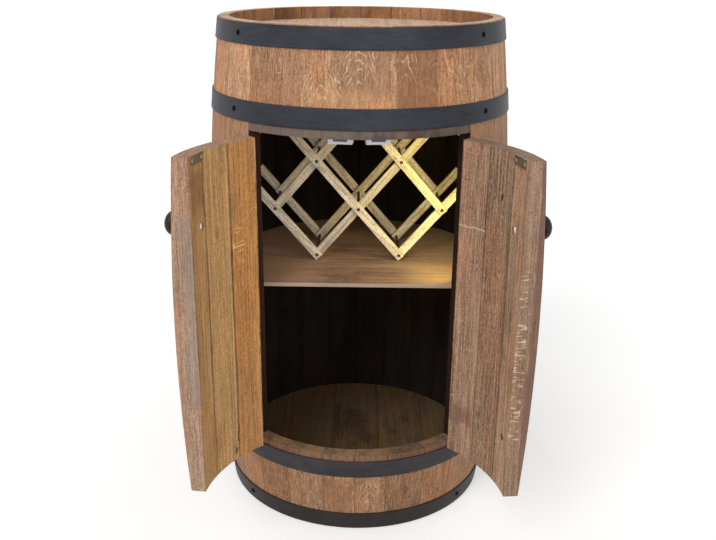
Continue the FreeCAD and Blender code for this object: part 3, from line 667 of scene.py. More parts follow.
@dataclass(frozen=True)
class MetalFinish(Finish):
    """A painted or bare metal: its colours, its wear and its gloss."""

    worn: Colour
    metallic: float = 1.0
    mottle: float = 0.3
    wear: float = 0.4
    matt: float = 0.4
    relief: float = 0.0001
    brush: tuple[float, float, float] = (900.0, 900.0, 60.0)
    edged: bool = False
    gloss: float = 0.5

    def draw(self, graph: Graph, shader: bpy.types.Node) -> None:
        """Mottle the metal, and wear it at its edges where the mesh says how near they are.

        Args:
            graph: The material's graph.
            shader: The material's shader.
        """
        values = {"Place": graph.add("ShaderNodeTexCoord").outputs["Object"]}
        if self.edged:
            values["Edge"] = graph.add("ShaderNodeAttribute",
                                       attribute_name="seam").outputs["Fac"]
        self.dress(graph, shader, worn_paint(), values, self.relief)
        shader.inputs["Metallic"].default_value = self.metallic
        shader.inputs["Specular IOR Level"].default_value = self.gloss


@dataclass(frozen=True)
class PlasticFinish(Finish):
    """A moulded plastic: its gloss, how far light goes into it, and the light that it gives."""

    matt: float = 0.35
    soft: float = 0.0
    glow: float = 0.0

    def draw(self, graph: Graph, shader: bpy.types.Node) -> None:
        """Cloud the plastic a little, and light its spots where it glows.

        Args:
            graph: The material's graph.
            shader: The material's shader.
        """
        place = graph.add("ShaderNodeTexCoord").outputs["Object"]
        cloud = graph.noise(place, (60, 60, 60), 3)
        grit = graph.noise(place, (1500, 1500, 1500), 1)
        colour = linear(self.ground)[:3]
        graph.feed(shader.inputs["Base Color"], (cloud * 0.16 + 0.92) * colour)
        graph.feed(shader.inputs["Roughness"], cloud * 0.2 + (self.matt - 0.1))
        bump = graph.add("ShaderNodeBump", {"Height": grit, "Distance": 0.00004})
        graph.feed(shader.inputs["Normal"], bump)
        shader.inputs["Subsurface Weight"].default_value = self.soft
        shader.inputs["Subsurface Radius"].default_value = (0.004, 0.004, 0.004)
        if self.glow:
            near = graph.math("PINGPONG", graph.split(place)[2], 0.0083)
            spots = graph.span(near, 0.002, 0.0045, 1.0, 0.45)
            graph.feed(shader.inputs["Emission Color"], spots * colour)
            shader.inputs["Emission Strength"].default_value = self.glow


OAK_OUTSIDE = WoodFinish(
    "oak outside", (186, 143, 108), (132, 94, 68), (196, 134, 88), (232, 204, 168), fibre=0.9,
    bands=0.3, flecks=0.4, stain=0.5, figure=0.12, gap=0.15, specks=0.22, pores=0.18, marks=(
        Mark((126, 92, 68), -1.0, 1.0, -0.1, 0.6625, 0.5, soft=0.0008),))
OAK_UPPER = replace(
    OAK_OUTSIDE, name="oak outside upper", ground=(172, 131, 98), shade=(120, 86, 62),
    glow=(180, 122, 80), gap=0.04, tone=0.35, marks=(
        Mark((134, 88, 58), 0.0545, 0.1205, 0.6, 0.9, 0.62),
        Mark((136, 102, 80), -0.04, 0.05, 0.695, 0.8, 0.4, soft=0.004),
        Mark((150, 104, 80), -0.1205, -0.088, 0.6, 0.9, 0.3, soft=0.001),
        Mark((212, 160, 112), -0.08, 0.06, 0.64, 0.724, 0.25, soft=0.005),
        Arches((238, 206, 162), -0.026, 0.022, 0.716, 0.776, 0.6, soft=0.003, count=4.5),
        Arches((236, 204, 158), -0.086, -0.028, 0.692, 0.742, 0.5, soft=0.003, count=4.0),
        Arches((236, 204, 162), 0.05, 0.085, 0.722, 0.776, 0.45, soft=0.003, count=3.0),
        # Painted shade: these three marks darken the lip below the upper hoop, over the oak's own
        # colour there.
        Mark((97, 89, 85), -1.0, 1.0, -0.1, 0.664, 0.85, soft=0.0008),
        Mark((64, 58, 60), -0.075, 0.04, -0.1, 0.67, 0.85, soft=0.008),
        Mark((78, 58, 46), 0.035, 0.3, -0.1, 0.67, 0.85, soft=0.008)))
OAK_LOWER = replace(
    OAK_OUTSIDE, name="oak outside low", ground=(153, 116, 87), shade=(108, 79, 57),
    glow=(164, 110, 72), fleck=(204, 170, 132), flecks=0.35, gap=0.22, marks=(
        Mark((118, 88, 70), -0.06, -0.004, 0.02, 0.1, 0.4, soft=0.003),
        Mark((84, 60, 46), -1.0, 1.0, 0.128, 0.9, 0.55, soft=0.0008),
        Arches((214, 180, 140), 0.006, 0.044, 0.045, 0.1, 0.65, soft=0.003, count=4.0)))
OAK_CHIME = WoodFinish("oak chime", (158, 116, 84), (100, 72, 54), (172, 118, 72),
                       (190, 150, 110), tone=0.5, flecks=0.1, figure=0.1, gap=0.1,
                       pores=0.2)
OAK_INSIDE = WoodFinish("oak inside", (34, 29, 28), (19, 16, 16), (40, 31, 26),
                        (48, 42, 38), tone=0.5, flecks=0.1, gap=0.5, matt=0.85, gloss=0.1)
OAK_RIM = WoodFinish("oak rim", (208, 176, 150), (160, 126, 102), (206, 160, 122),
                     (220, 192, 168), fibre=0.5, flecks=0.0, knots=0.0, stain=0.4, gap=0.3)
OAK_SILL = WoodFinish("oak sill", (145, 121, 98), (87, 71, 57), (149, 116, 88),
                      (168, 140, 112), fibre=0.7, flecks=0.0, knots=0.0, gap=0.12)
OAK_SIDE = WoodFinish("oak side", (52, 34, 28), (30, 20, 17), (58, 34, 26), (74, 54, 42),
                      flecks=0.0, gap=0.0, gloss=0.1)
OAK_HEAD = WoodFinish("oak head", (202, 172, 148), (164, 132, 106), (206, 166, 130),
                      (226, 200, 172), fibre=0.5, bands=0.3, flecks=0.15, tone=0.1,
                      gap=0.2)
OAK_FLOOR = replace(OAK_HEAD, name="oak floor", ground=(100, 84, 70), shade=(64, 52, 44),
                    glow=(108, 82, 60), fleck=(126, 108, 92), stain=0.7, gloss=0.1)
LEFT_EDGE = WoodFinish(
    "left door edge", (165, 136, 112), (120, 92, 78), (172, 122, 96), (204, 178, 156),
    fibre=0.8, bands=0.3, flecks=0.1, knots=0.2, stain=0.4, gap=0.0, pores=0.15, marks=(
        Mark((140, 128, 118), 0.214, 0.234, 0.28, 0.58, 0.45, Axis.THROUGH, 0.006),
        Mark((176, 120, 96), 0.236, 0.26, 0.2, 0.46, 0.3, Axis.THROUGH, 0.002)))
RIGHT_EDGE = WoodFinish(
    "right door edge", (147, 120, 98), (106, 80, 66), (158, 116, 90), (196, 168, 142),
    fibre=0.8, bands=0.3, flecks=0.1, knots=0.2, stain=0.4, gap=0.0, pores=0.15, marks=(
        # Painted shade: this mark darkens the outer part of the right door's edge and end faces,
        # where the rounded outer arris falls in shade.
        Mark((104, 74, 66), 0.2345, 0.26, 0.0, 0.8, 0.65, Axis.THROUGH, 0.002),
        Arches((206, 180, 154), 0.219, 0.236, 0.505, 0.57, 0.5, Axis.THROUGH, 0.002, 7.0),
        Rungs((214, 190, 162), 0.217, 0.229, 0.445, 0.5, 0.85, Axis.THROUGH, 0.0008),
        Rungs((214, 190, 162), 0.2165, 0.2315, 0.24, 0.425, 0.65, Axis.THROUGH, 0.0008)))
LEFT_HINGE = WoodFinish(
    "left door hinge board", (170, 124, 80), (128, 90, 56), (184, 124, 66), (224, 184, 130),
    fibre=0.75, bands=0.25, flecks=0.3, stain=0.5, gap=0.55, pores=0.15, marks=(
        Rungs((226, 188, 132), -0.15, -0.123, 0.464, 0.502, 0.75, soft=0.0008),
        Rungs((222, 182, 124), -0.15, -0.128, 0.512, 0.532, 0.5, soft=0.0008)))
LEFT_MIDDLE = replace(
    LEFT_HINGE, name="left door middle board", ground=(184, 146, 101), shade=(138, 106, 72),
    glow=(188, 144, 94), flecks=0.12, marks=(
        Mark((64, 42, 26), -0.122, -0.117, 0.178, 0.198, 0.85, soft=0.0008),
        Knot((84, 56, 36), -0.119, -0.11, 0.157, 0.171, 0.85)))
LEFT_MEETING = replace(
    LEFT_HINGE, name="left door meeting board", ground=(188, 147, 103), shade=(132, 102, 70),
    glow=(180, 128, 78), flecks=0.12, marks=(
        Mark((84, 60, 40), -0.064, -0.004, 0.54, 0.64, 0.42, soft=0.009),))
RIGHT_HINGE = WoodFinish(
    "right door hinge board", (169, 135, 110), (120, 93, 75), (170, 122, 93), (206, 176, 148),
    fibre=1.15, bands=0.3, flecks=0.3, stain=0.5, gap=0.3, specks=0.4, pores=0.3, marks=(
        Mark((214, 186, 156), 0.15, 0.182, 0.519, 0.5226, 0.75, soft=0.0004),
        Mark((214, 186, 156), 0.121, 0.151, 0.5215, 0.5252, 0.8, soft=0.0004),
        Mark((104, 80, 66), 0.126, 0.18, 0.196, 0.238, 0.5, soft=0.003),
        Mark((150, 86, 66), 0.132, 0.156, 0.206, 0.23, 0.45, soft=0.002)))
RIGHT_MIDDLE = replace(
    RIGHT_HINGE, name="right door middle board", ground=(166, 134, 108), shade=(112, 88, 70),
    glow=(170, 118, 86), marks=(
        Arches((200, 172, 144), 0.062, 0.112, 0.3, 0.44, 0.3, soft=0.005, count=7.0),
        Knot((62, 42, 32), 0.079, 0.088, 0.574, 0.588, 0.9),
        Arches((208, 178, 148), 0.06, 0.1, 0.5, 0.57, 0.4, soft=0.004, count=5.0)))
RIGHT_MEETING = replace(
    RIGHT_HINGE, name="right door meeting board", ground=(190, 153, 125),
    shade=(136, 107, 86), glow=(190, 138, 102), flecks=0.3, fleck=(212, 184, 154), marks=(
        Mark((180, 112, 66), 0.009, 0.022, 0.478, 0.536, 0.55, soft=0.002),
        Knot((62, 44, 34), 0.024, 0.034, 0.227, 0.242, 0.9)))
SHELF_FACE = WoodFinish(
    "shelf face", (144, 118, 107), (98, 78, 70), (156, 120, 98), (166, 142, 124), fibre=0.6,
    flecks=0.05, knots=0.1, stain=0.6, pores=0.3, relief=0.0002, gloss=0.15, marks=(
        # Painted light: the next two marks lighten the shelf's left part strongly and its right
        # part a little.
        Mark((190, 154, 137), -1.0, 1.0, -1.0, -0.03, 0.55, soft=0.015),
        Mark((200, 170, 150), -1.0, 1.0, 0.05, 1.0, 0.25, soft=0.015),
        Mark((186, 166, 146), -0.16, -0.1454, -1.0, 1.0, 0.55, soft=0.0003)))
SOFT_WOOD = WoodFinish("cleat wood", (110, 84, 60), (74, 54, 38), (118, 84, 52),
                       (130, 104, 78), flecks=0.0)
PINE = WoodFinish("rack pine", (220, 210, 202), (156, 136, 122), (218, 198, 176),
                  (236, 226, 210), fibre=0.8, bands=0.45, figure=0.45, flecks=0.0, knots=0.4,
                  pores=0.1, stain=0.3, tone=0.2, gap=0.0, relief=0.0002)
KNOB_WOOD = WoodFinish("knob wood", (48, 33, 24), (24, 16, 12), (58, 36, 22), (76, 54, 38),
                       fibre=0.5, flecks=0.0, knots=0.0, gap=0.0, matt=0.42, relief=0.0001,
                       gloss=0.22, specks=0.1)

HOOP_PAINT = MetalFinish("hoop paint", (40, 41, 49), (19, 19, 22), metallic=0.1,
                         mottle=0.7, wear=0.6, matt=0.5, relief=0.00008,
                         brush=(30.0, 30.0, 300.0), edged=True, gloss=0.3)
THIRD_HOOP_PAINT = replace(HOOP_PAINT, name="hoop paint third", ground=(45, 42, 46))
FLOOR_HOOP_PAINT = replace(HOOP_PAINT, name="hoop paint floor", ground=(33, 26, 25),
                           worn=(15, 12, 12))
RIVET_PAINT = MetalFinish("rivet paint", (4, 4, 5), (16, 15, 16), metallic=0.0, wear=0.1,
                          matt=0.3, gloss=0.06)
ZINC = MetalFinish("zinc steel", (214, 212, 206), (140, 132, 120), metallic=0.85, matt=0.26,
                   wear=0.25)
STRIKE = MetalFinish("strike steel", (150, 140, 120), (98, 84, 64), metallic=0.85, matt=0.4,
                     wear=0.5, brush=(60.0, 60.0, 900.0))
HINGE = MetalFinish("hinge steel", (112, 104, 92), (66, 54, 44), matt=0.42, wear=0.4)
POLE = MetalFinish("pole steel", (172, 178, 184), (120, 120, 118), metallic=0.6, matt=0.4,
                   wear=0.3)
DOWEL = MetalFinish("dark dowel", (60, 50, 42), (104, 86, 68), metallic=0.0, matt=0.6,
                    wear=0.4)
MAGNET = MetalFinish("magnet", (96, 98, 100), (130, 130, 130), metallic=0.3, matt=0.5,
                     wear=0.3)
CATCH = PlasticFinish("catch plastic", (220, 225, 231), matt=0.28, soft=0.3)
BATTERY = PlasticFinish("battery plastic", (34, 34, 36), matt=0.4)
STRIP = PlasticFinish("light strip", (255, 222, 150), matt=0.4, glow=6.0)
HOOP_FINISHES = {"top_hoop": HOOP_PAINT, "upper_hoop": HOOP_PAINT,
                 "lower_hoop": THIRD_HOOP_PAINT, "bottom_hoop": FLOOR_HOOP_PAINT}


# --- meshes ----------------------------------------------------------------------------------

# Corners of loose triangles, and points of a turned profile, that are this near become one.
TRIANGLE_GAP = 2e-6
AXIS_GAP = 1e-6
SHORTEST_EDGE = 1e-7
# Faces that turn less than FLAT_TURN become one; edges that turn more than the others are sharp.
FLAT_TURN = math.radians(1)
CUT_TURN = math.radians(30)
LATHE_TURN = math.radians(38)
EASED_TURN = math.radians(40)


def link(name: str, data: Any) -> bpy.types.Object:
    """Add an object to the scene.

    Args:
        name: The object's name.
        data: Its mesh, lamp or camera.

    Returns:
        The object.
    """
    made = bpy.data.objects.new(name, data)
    bpy.context.scene.collection.objects.link(made)
    return made


def ease_edges(obj: bpy.types.Object, width: float) -> None:
    """Round an object's sharp edges with a Bevel modifier.

    Args:
        obj: The object.
        width: The rounding's width, in metres.
    """
    bevel = obj.modifiers.new("edges", "BEVEL")
    bevel.width = width
    bevel.segments = 2
    bevel.limit_method = "ANGLE"
    bevel.angle_limit = EASED_TURN
    bevel.harden_normals = True


def settled(obj: bpy.types.Object, name: str) -> bpy.types.Mesh:
    """Make an object's modifiers final, and remove the object.

    Args:
        obj: The object.
        name: The new mesh's name.

    Returns:
        The plain mesh that the modifiers make.
    """
    graph = bpy.context.evaluated_depsgraph_get()
    mesh = bpy.data.meshes.new_from_object(obj.evaluated_get(graph),
                                           preserve_all_data_layers=True, depsgraph=graph)
    mesh.name = name
    bpy.data.objects.remove(obj)
    return mesh


def store_values(mesh: bpy.types.Mesh, name: str, values: Sequence[Any]) -> None:
    """Store a number or a vector on each vertex of a mesh.

    Args:
        mesh: The mesh.
        name: The attribute's name.
        values: The numbers or the vectors.
    """
    wide = isinstance(values[0], Vector)
    attribute = mesh.attributes.new(name, "FLOAT_VECTOR" if wide else "FLOAT", "POINT")
    flat = np.array([list(value) if wide else value for value in values], np.float32)
    attribute.data.foreach_set("vector" if wide else "value", flat.ravel())


def mark(mesh: bpy.types.Mesh, name: str, rule: Callable[[Vector], Any]) -> None:
    """Store a number or a vector on each vertex of a mesh, from the vertex's place."""
    store_values(mesh, name, [rule(vertex.co) for vertex in mesh.vertices])


def mark_one_board(mesh: bpy.types.Mesh, grain: Callable[[Vector], Vector],
                   tone: float = 0.4) -> None:
    """Store what a wooden finish reads on a mesh that is one board.

    Args:
        mesh: The mesh.
        grain: The board's own coordinates, from a vertex's place.
        tone: The board's number, from 0 to 1.
    """
    mark(mesh, "grain", grain)
    mark(mesh, "board", lambda _: tone)
    mark(mesh, "seam", lambda _: 1.0)


def grown(tree: bpy.types.NodeTree, name: str, columns: dict[str, Sequence[Any]],
          inputs: dict[str, Any], places: Optional[Sequence[Vector]] = None,
          edge: float = 0.0) -> bpy.types.Mesh:
    """Run a geometry tree on a row of points.

    Args:
        tree: The geometry tree.
        name: The mesh's name.
        columns: Numbers or vectors for each point, by attribute name.
        inputs: The tree's inputs by name.
        places: Where the points are; all at the origin if left out.
        edge: Width of the rounding of the sharp edges, in metres.

    Returns:
        The plain mesh that the tree makes.
    """
    count = len(next(iter(columns.values())))
    mesh = bpy.data.meshes.new(name)
    mesh.from_pydata(list(places or [(0, 0, 0)] * count), [], [])
    for column, values in columns.items():
        store_values(mesh, column, values)
    obj = link(name, mesh)
    modifier = obj.modifiers.new("grow", "NODES")
    modifier.node_group = tree
    identifiers = {item.name: item.identifier for item in tree.interface.items_tree
                   if item.in_out == "INPUT"}
    for label, value in inputs.items():
        modifier[identifiers[label]] = value
    if edge:
        ease_edges(obj, edge)
    made = settled(obj, name)
    bpy.data.meshes.remove(mesh)
    return made


def plain(mesh: bmesh.types.BMesh, name: str, sharp: float) -> bpy.types.Mesh:
    """Turn mesh code's result into a smooth mesh.

    Args:
        mesh: The result, which is freed.
        name: The mesh's name.
        sharp: The turn from which an edge stays sharp, in radians.

    Returns:
        The mesh.
    """
    for face in mesh.faces:
        face.smooth = True
    made = bpy.data.meshes.new(name)
    mesh.to_mesh(made)
    mesh.free()
    made.set_sharp_from_angle(angle=sharp)
    return made


def turned(name: str, profile: Sequence[tuple[float, float]], closed: bool,
           sides: int) -> bpy.types.Mesh:
    """Turn a profile about Z.

    Args:
        name: The mesh's name.
        profile: Pairs of radius and height, in metres.
        closed: Whether the profile is a ring; otherwise its two ends lie on the axis.
        sides: Steps round the axis.

    Returns:
        The mesh, with its faces outwards.
    """
    mesh = bmesh.new()
    rows = []
    for step in range(sides):
        angle = 2 * math.pi * step / sides
        rows.append([mesh.verts.new((radius * math.cos(angle), radius * math.sin(angle), height))
                     for radius, height in profile])
    count = len(profile)
    for step in range(sides):
        row, following = rows[step], rows[(step + 1) % sides]
        for number in range(count if closed else count - 1):
            after = (number + 1) % count
            mesh.faces.new((row[number], following[number], following[after], row[after]))
    bmesh.ops.remove_doubles(mesh, verts=mesh.verts, dist=AXIS_GAP)
    bmesh.ops.dissolve_degenerate(mesh, edges=mesh.edges, dist=SHORTEST_EDGE)
    bmesh.ops.recalc_face_normals(mesh, faces=mesh.faces)
    return plain(mesh, name, LATHE_TURN)


def merged_copy(node: str) -> bmesh.types.BMesh:
    """Copy a CAD node's mesh and merge its loose triangles.

    Args:
        node: The node's name.

    Returns:
        The copy.
    """
    mesh = bmesh.new()
    mesh.from_mesh(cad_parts[node].data)
    bmesh.ops.remove_doubles(mesh, verts=mesh.verts, dist=TRIANGLE_GAP)
    return mesh


def standing(axes: Sequence[Vector], place: Vector) -> Matrix:
    """Return the matrix that turns X, Y and Z to three axes and moves the origin to a place."""
    return Matrix.Translation(place) @ Matrix(axes).transposed().to_4x4()


@dataclass(frozen=True)
class Seat:
    """One of a node's repeated solids: its middle, the way its head faces, and its length."""

    middle: Vector
    facing: Vector
    length: float

    def head(self, below: float = 0.0) -> Vector:
        """Return a place on the axis, so far below the end that faces outwards."""
        return self.middle + self.facing * (self.length / 2 - below)

    @classmethod
    def around(cls, island: Sequence[Vector]) -> "Seat":
        """Return where a solid lies.

        Args:
            island: The solid's vertices.

        Returns:
            Its seat; its thicker end is its head.
        """
        points = np.array(island)
        centre = (points.max(0) + points.min(0)) / 2
        axis = np.linalg.svd(points - points.mean(0), full_matrices=False)[2][0]
        along = (points - centre) @ axis
        away = np.linalg.norm(points - centre - np.outer(along, axis), axis=1)
        middle = (along.max() + along.min()) / 2
        sign = 1.0 if away[along > middle].max() >= away[along < middle].max() else -1.0
        return cls(Vector(centre + axis * middle), Vector(axis * sign),
                   float(along.max() - along.min()))


def seats(node: str) -> list[Seat]:
    """Find a CAD node's separate solids.

    Args:
        node: The node's name.

    Returns:
        Where each of its solids lies, from the lowest up and then from left to right.
    """
    mesh = merged_copy(node)
    seen: set[int] = set()
    found = []
    for first in mesh.verts:
        if first.index in seen:
            continue
        seen.add(first.index)
        queue, island = [first], []
        while queue:
            vertex = queue.pop()
            island.append(vertex.co.copy())
            for edge in vertex.link_edges:
                other = edge.other_vert(vertex)
                if other.index not in seen:
                    seen.add(other.index)
                    queue.append(other)
        found.append(Seat.around(island))
    mesh.free()
    return sorted(found, key=lambda seat: (round(seat.middle.z, 4), round(seat.middle.x, 4),
                                           round(seat.middle.y, 4)))


def finish_piece(name: str, mesh: bpy.types.Mesh, body: str, slot: str, node: str) -> None:
    """Add a finished mesh as a piece of the cabinet.

    Args:
        name: The piece's name.
        mesh: Its mesh, in place.
        body: The body that it rides on.
        slot: A name for its finish's slot; not used.
        node: The CAD node that it stands for.
    """
    obj = link(name, mesh)
    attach(obj, body)
    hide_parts(node)
    LOG.info("%s on %s: %d faces", name, body, len(mesh.polygons))


def softened(node: str, name: str, finish: Finish, slot: str, edge: float, body: str = CABINET,
             grain: Optional[Callable[[Vector], Vector]] = None) -> None:
    """Stand a copy of a CAD node in its place, with its sharp edges rounded.

    Args:
        node: The node's name.
        name: The piece's name.
        finish: Its finish.
        slot: A name for its finish's slot, passed on to finish_piece.
        edge: The rounding's width, in metres.
        body: The body that it rides on.
        grain: A wooden piece's own coordinates, from a vertex's place.
    """
    mesh = merged_copy(node)
    bmesh.ops.dissolve_limit(mesh, angle_limit=FLAT_TURN, verts=mesh.verts,
                             edges=mesh.edges)
    obj = link(name, plain(mesh, name, CUT_TURN))
    ease_edges(obj, edge)
    made = settled(obj, name)
    made.materials.clear()
    made.materials.append(finish.material())
    if grain:
        mark_one_board(made, grain)
    finish_piece(name, made, body, slot, node)


# --- geometry trees --------------------------------------------------------------------------

# A board's vertices along each axis; a bent board takes those of its length from its tree.
BENT_STEPS = (9, 3)
FLAT_STEPS = (13, 33, 2)
# A vertex that is nearer to a board's face or end than this share of the board lies on it.
ON_FACE = 0.001
ON_END = 0.0001
QUARTER_TURN = (0, 0, math.pi / 2)
# The worn joints: how their openings vary round and up the barrel, and where they stay shut.
WORN_ROUND = 7.0
WORN_UP = 11.0
WORN_FROM = 0.42


def geometry_tree(name: str, sizes: dict[str, float], finishes: Sequence[str]
                  ) -> tuple[Graph, dict[str, Value]]:
    """Start a tree that grows a geometry from points.

    Args:
        name: The tree's name.
        sizes: The default of each input that is a number.
        finishes: The names of the inputs that are materials.

    Returns:
        The graph and the tree's inputs by name.
    """
    others = {"Geometry": Kind.GEOMETRY} | {label: Kind.MATERIAL for label in finishes}
    return new_tree("GeometryNodeTree", name, sizes, others, {"Geometry": Kind.GEOMETRY})


def spread(graph: Graph, points: Any, shape: Any, **how: Any) -> bpy.types.Node:
    """Put a shape on each point and make the copies real."""
    placed = graph.add("GeometryNodeInstanceOnPoints",
                       {"Points": points, "Instance": shape, **how})
    return graph.add("GeometryNodeRealizeInstances", {"Geometry": placed})


def unit_boards(graph: Graph, points: Any, steps: Sequence[Any]) -> bpy.types.Node:
    """Put a board of one unit each way on each point.

    Args:
        graph: The tree's graph.
        points: The points.
        steps: The board's vertices along each axis.

    Returns:
        The boards, with each vertex's own place from 0 to 1 stored as "unit".
    """
    block = graph.add("GeometryNodeMeshCube", {
        "Size": (1, 1, 1), "Vertices X": steps[0], "Vertices Y": steps[1],
        "Vertices Z": steps[2]})
    unit = graph.vector("ADD", graph.add("GeometryNodeInputPosition"), (0.5, 0.5, 0.5))
    return spread(graph, points, graph.store(block, "unit", unit, "FLOAT_VECTOR"))


def reshaped(graph: Graph, boards: Any, place: Value, grain: Value, seam: Value
             ) -> bpy.types.Node:
    """Move boards into shape and smooth them.

    Args:
        graph: The tree's graph.
        boards: The boards.
        place: Where each vertex goes.
        grain: Its place in the board's own coordinates.
        seam: How far it is from the nearest joint.

    Returns:
        The shaped boards, with grain and seam stored on them.
    """
    caught = graph.store(graph.store(boards, "grain", grain, "FLOAT_VECTOR"), "seam", seam)
    shaped = graph.add("GeometryNodeSetPosition", {"Geometry": caught, "Position": place})
    return graph.add("GeometryNodeSetShadeSmooth", {"Geometry": shaped})


def finished(graph: Graph, geometry: Any, material: Any, chosen: Any = True) -> bpy.types.Node:
    """Give the chosen faces a material."""
    return graph.add("GeometryNodeSetMaterial",
                     {"Geometry": geometry, "Material": material, "Selection": chosen})


@cache
def stave_tree() -> bpy.types.NodeTree:
    """Make the tree that bends a row of boards into a barrel's wall.

    Returns:
        The tree, which is made once. Each point is a board, with its first and last angle,
        its foot, its top and its own number.
    """
    graph, given = geometry_tree("barrel boards", {
        "Barrel Height": 0.8, "Bilge Radius": 0.248, "Bulge": 0.0255, "Wall Radius": 0.216,
        "End Bore": 0.206, "Taper": 0.11, "Joint": 0.0004, "Unevenness": 0.0,
        "Head Top": 0.78, "Steps": 61}, ("Outside", "Inside", "Rim Inside", "Side", "End"))
    boards = unit_boards(graph, given["Geometry"], (*BENT_STEPS, given["Steps"]))
    across, inward, rise = graph.split(graph.stored("unit", "FLOAT_VECTOR"))
    depth = 1.0 - inward
    foot, top = graph.stored("foot"), graph.stored("top")
    first, last = graph.stored("start"), graph.stored("end")
    height = rise * (top - foot) + foot
    half, bulge = given["Barrel Height"] / 2.0, given["Bulge"]
    bow = (half ** 2.0 + bulge ** 2.0) / (bulge * 2.0)
    chord = graph.math("SQRT", bow ** 2.0 - (height - half) ** 2.0)
    outer = given["Bilge Radius"] + (chord - bow) + graph.stored("proud")
    from_end = graph.math("MINIMUM", height, given["Barrel Height"] - height)
    slope = graph.math("DIVIDE", from_end, given["Taper"], clamp=True)
    inner = slope * (given["Wall Radius"] - given["End Bore"]) + given["End Bore"]
    radius = depth * (outer - inner) + inner
    # The joint is open at both faces and shut half way through the wall.
    ragged = graph.noise(graph.combine(first, across, height), (WORN_ROUND, 1, WORN_UP), 3)
    ragged = graph.math("MAXIMUM", (ragged - WORN_FROM) * given["Unevenness"], 0.0)
    gap = (given["Joint"] * 0.5 + ragged) * abs(depth * 2.0 - 1.0) / radius
    width = last - first - gap * 2.0
    angle = across * width + (first + gap)
    place = graph.combine(radius * graph.math("SINE", angle),
                          radius * (graph.math("COSINE", angle) * -1.0), height)
    near = graph.math("MINIMUM", across, 1.0 - across)
    faces = reshaped(graph, boards, place,
                     graph.combine(angle * given["Bilge Radius"], radius, height),
                     near * width * radius)
    inside = depth < ON_FACE
    for label, chosen in (
            ("Side", True), ("Outside", depth > 1 - ON_FACE), ("Inside", inside),
            ("Rim Inside", inside * (height > given["Head Top"])),
            ("End", abs(rise - 0.5) > 0.5 - ON_END)):
        faces = finished(graph, faces, given[label], chosen)
    return graph.close(Geometry=faces)


@cache
def head_tree() -> bpy.types.NodeTree:
    """Make the tree that lays boards side by side as a round head.

    Returns:
        The tree, which is made once. Each point is a board; its first and last angle give
        where its sides meet the round edge.
    """
    graph, given = geometry_tree("head boards", {
        "Radius": 0.2, "Thickness": 0.018, "Foot": 0.0, "Joint": 0.0003}, ("Face",))
    boards = unit_boards(graph, given["Geometry"], FLAT_STEPS)
    across, along, rise = graph.split(graph.stored("unit", "FLOAT_VECTOR"))
    first, last, radius = graph.stored("start"), graph.stored("end"), given["Radius"]
    angle = across * (last - first) + first
    x = radius * graph.math("SINE", angle) - (across - 0.5) * given["Joint"]
    y = (along * 2.0 - 1.0) * (radius * graph.math("COSINE", angle))
    z = rise * given["Thickness"] + given["Foot"]
    seam = graph.math("MINIMUM", x - radius * graph.math("SINE", first),
                      radius * graph.math("SINE", last) - x)
    faces = reshaped(graph, boards, graph.combine(x, y, z), graph.combine(x, z, y), seam)
    return graph.close(Geometry=finished(graph, faces, given["Face"]))


def facing_turn(graph: Graph) -> bpy.types.Node:
    """Turn +Z to each point's facing, with the point's own spin about it.

    Args:
        graph: The tree's graph.

    Returns:
        The rotation.
    """
    facing = graph.add("FunctionNodeAlignRotationToVector", {
        "Vector": graph.stored("facing", "FLOAT_VECTOR")}, axis="Z")
    spin = graph.add("FunctionNodeAxisAngleToRotation", {
        "Axis": (0, 0, 1), "Angle": graph.stored("spin")})
    return graph.add("FunctionNodeRotateRotation", {
        "Rotation": facing, "Rotate By": spin}, rotation_space="LOCAL")


@cache
def stud_tree() -> bpy.types.NodeTree:
    """Make the tree that puts domed studs, such as rivets, dowels and bolt heads, on points.

    Returns:
        The tree, which is made once.
    """
    graph, given = geometry_tree("domed studs", {
        "Head Radius": 0.004, "Head Height": 0.0024, "Shank Radius": 0.0015,
        "Shank Length": 0.014, "Recess": 0.0}, ("Material",))
    radius, height, recess = given["Head Radius"], given["Head Height"], given["Recess"]
    length = given["Shank Length"]
    ball = graph.add("GeometryNodeMeshUVSphere", {"Segments": 20, "Rings": 12, "Radius": 1.0})
    dome = graph.moved(ball, Scale=graph.combine(radius, radius, height))
    rim = graph.add("GeometryNodeMeshCylinder", {
        "Vertices": 20, "Radius": radius * 1.02, "Depth": height * 0.3})
    slot = graph.add("GeometryNodeMeshCube", {
        "Size": graph.combine(recess * 5.0, recess, recess * 2.0)})
    cross = graph.joined(slot, graph.moved(slot, Rotation=QUARTER_TURN))
    tool = graph.moved(cross, Translation=graph.combine(0.0, 0.0, height))
    recessed = graph.add("GeometryNodeSwitch", {
        "Switch": recess > 0.0, "False": dome, "True": graph.cut(dome, tool),
    }, input_type="GEOMETRY")
    shank = graph.add("GeometryNodeMeshCylinder", {
        "Vertices": 16, "Radius": given["Shank Radius"], "Depth": length})
    sunk = graph.moved(shank, Translation=graph.combine(0.0, 0.0, length * -0.5))
    placed = spread(graph, given["Geometry"], graph.joined(recessed, rim, sunk),
                    Rotation=facing_turn(graph))
    smooth = graph.add("GeometryNodeSetShadeSmooth", {"Geometry": placed})
    return graph.close(Geometry=finished(graph, smooth, given["Material"]))


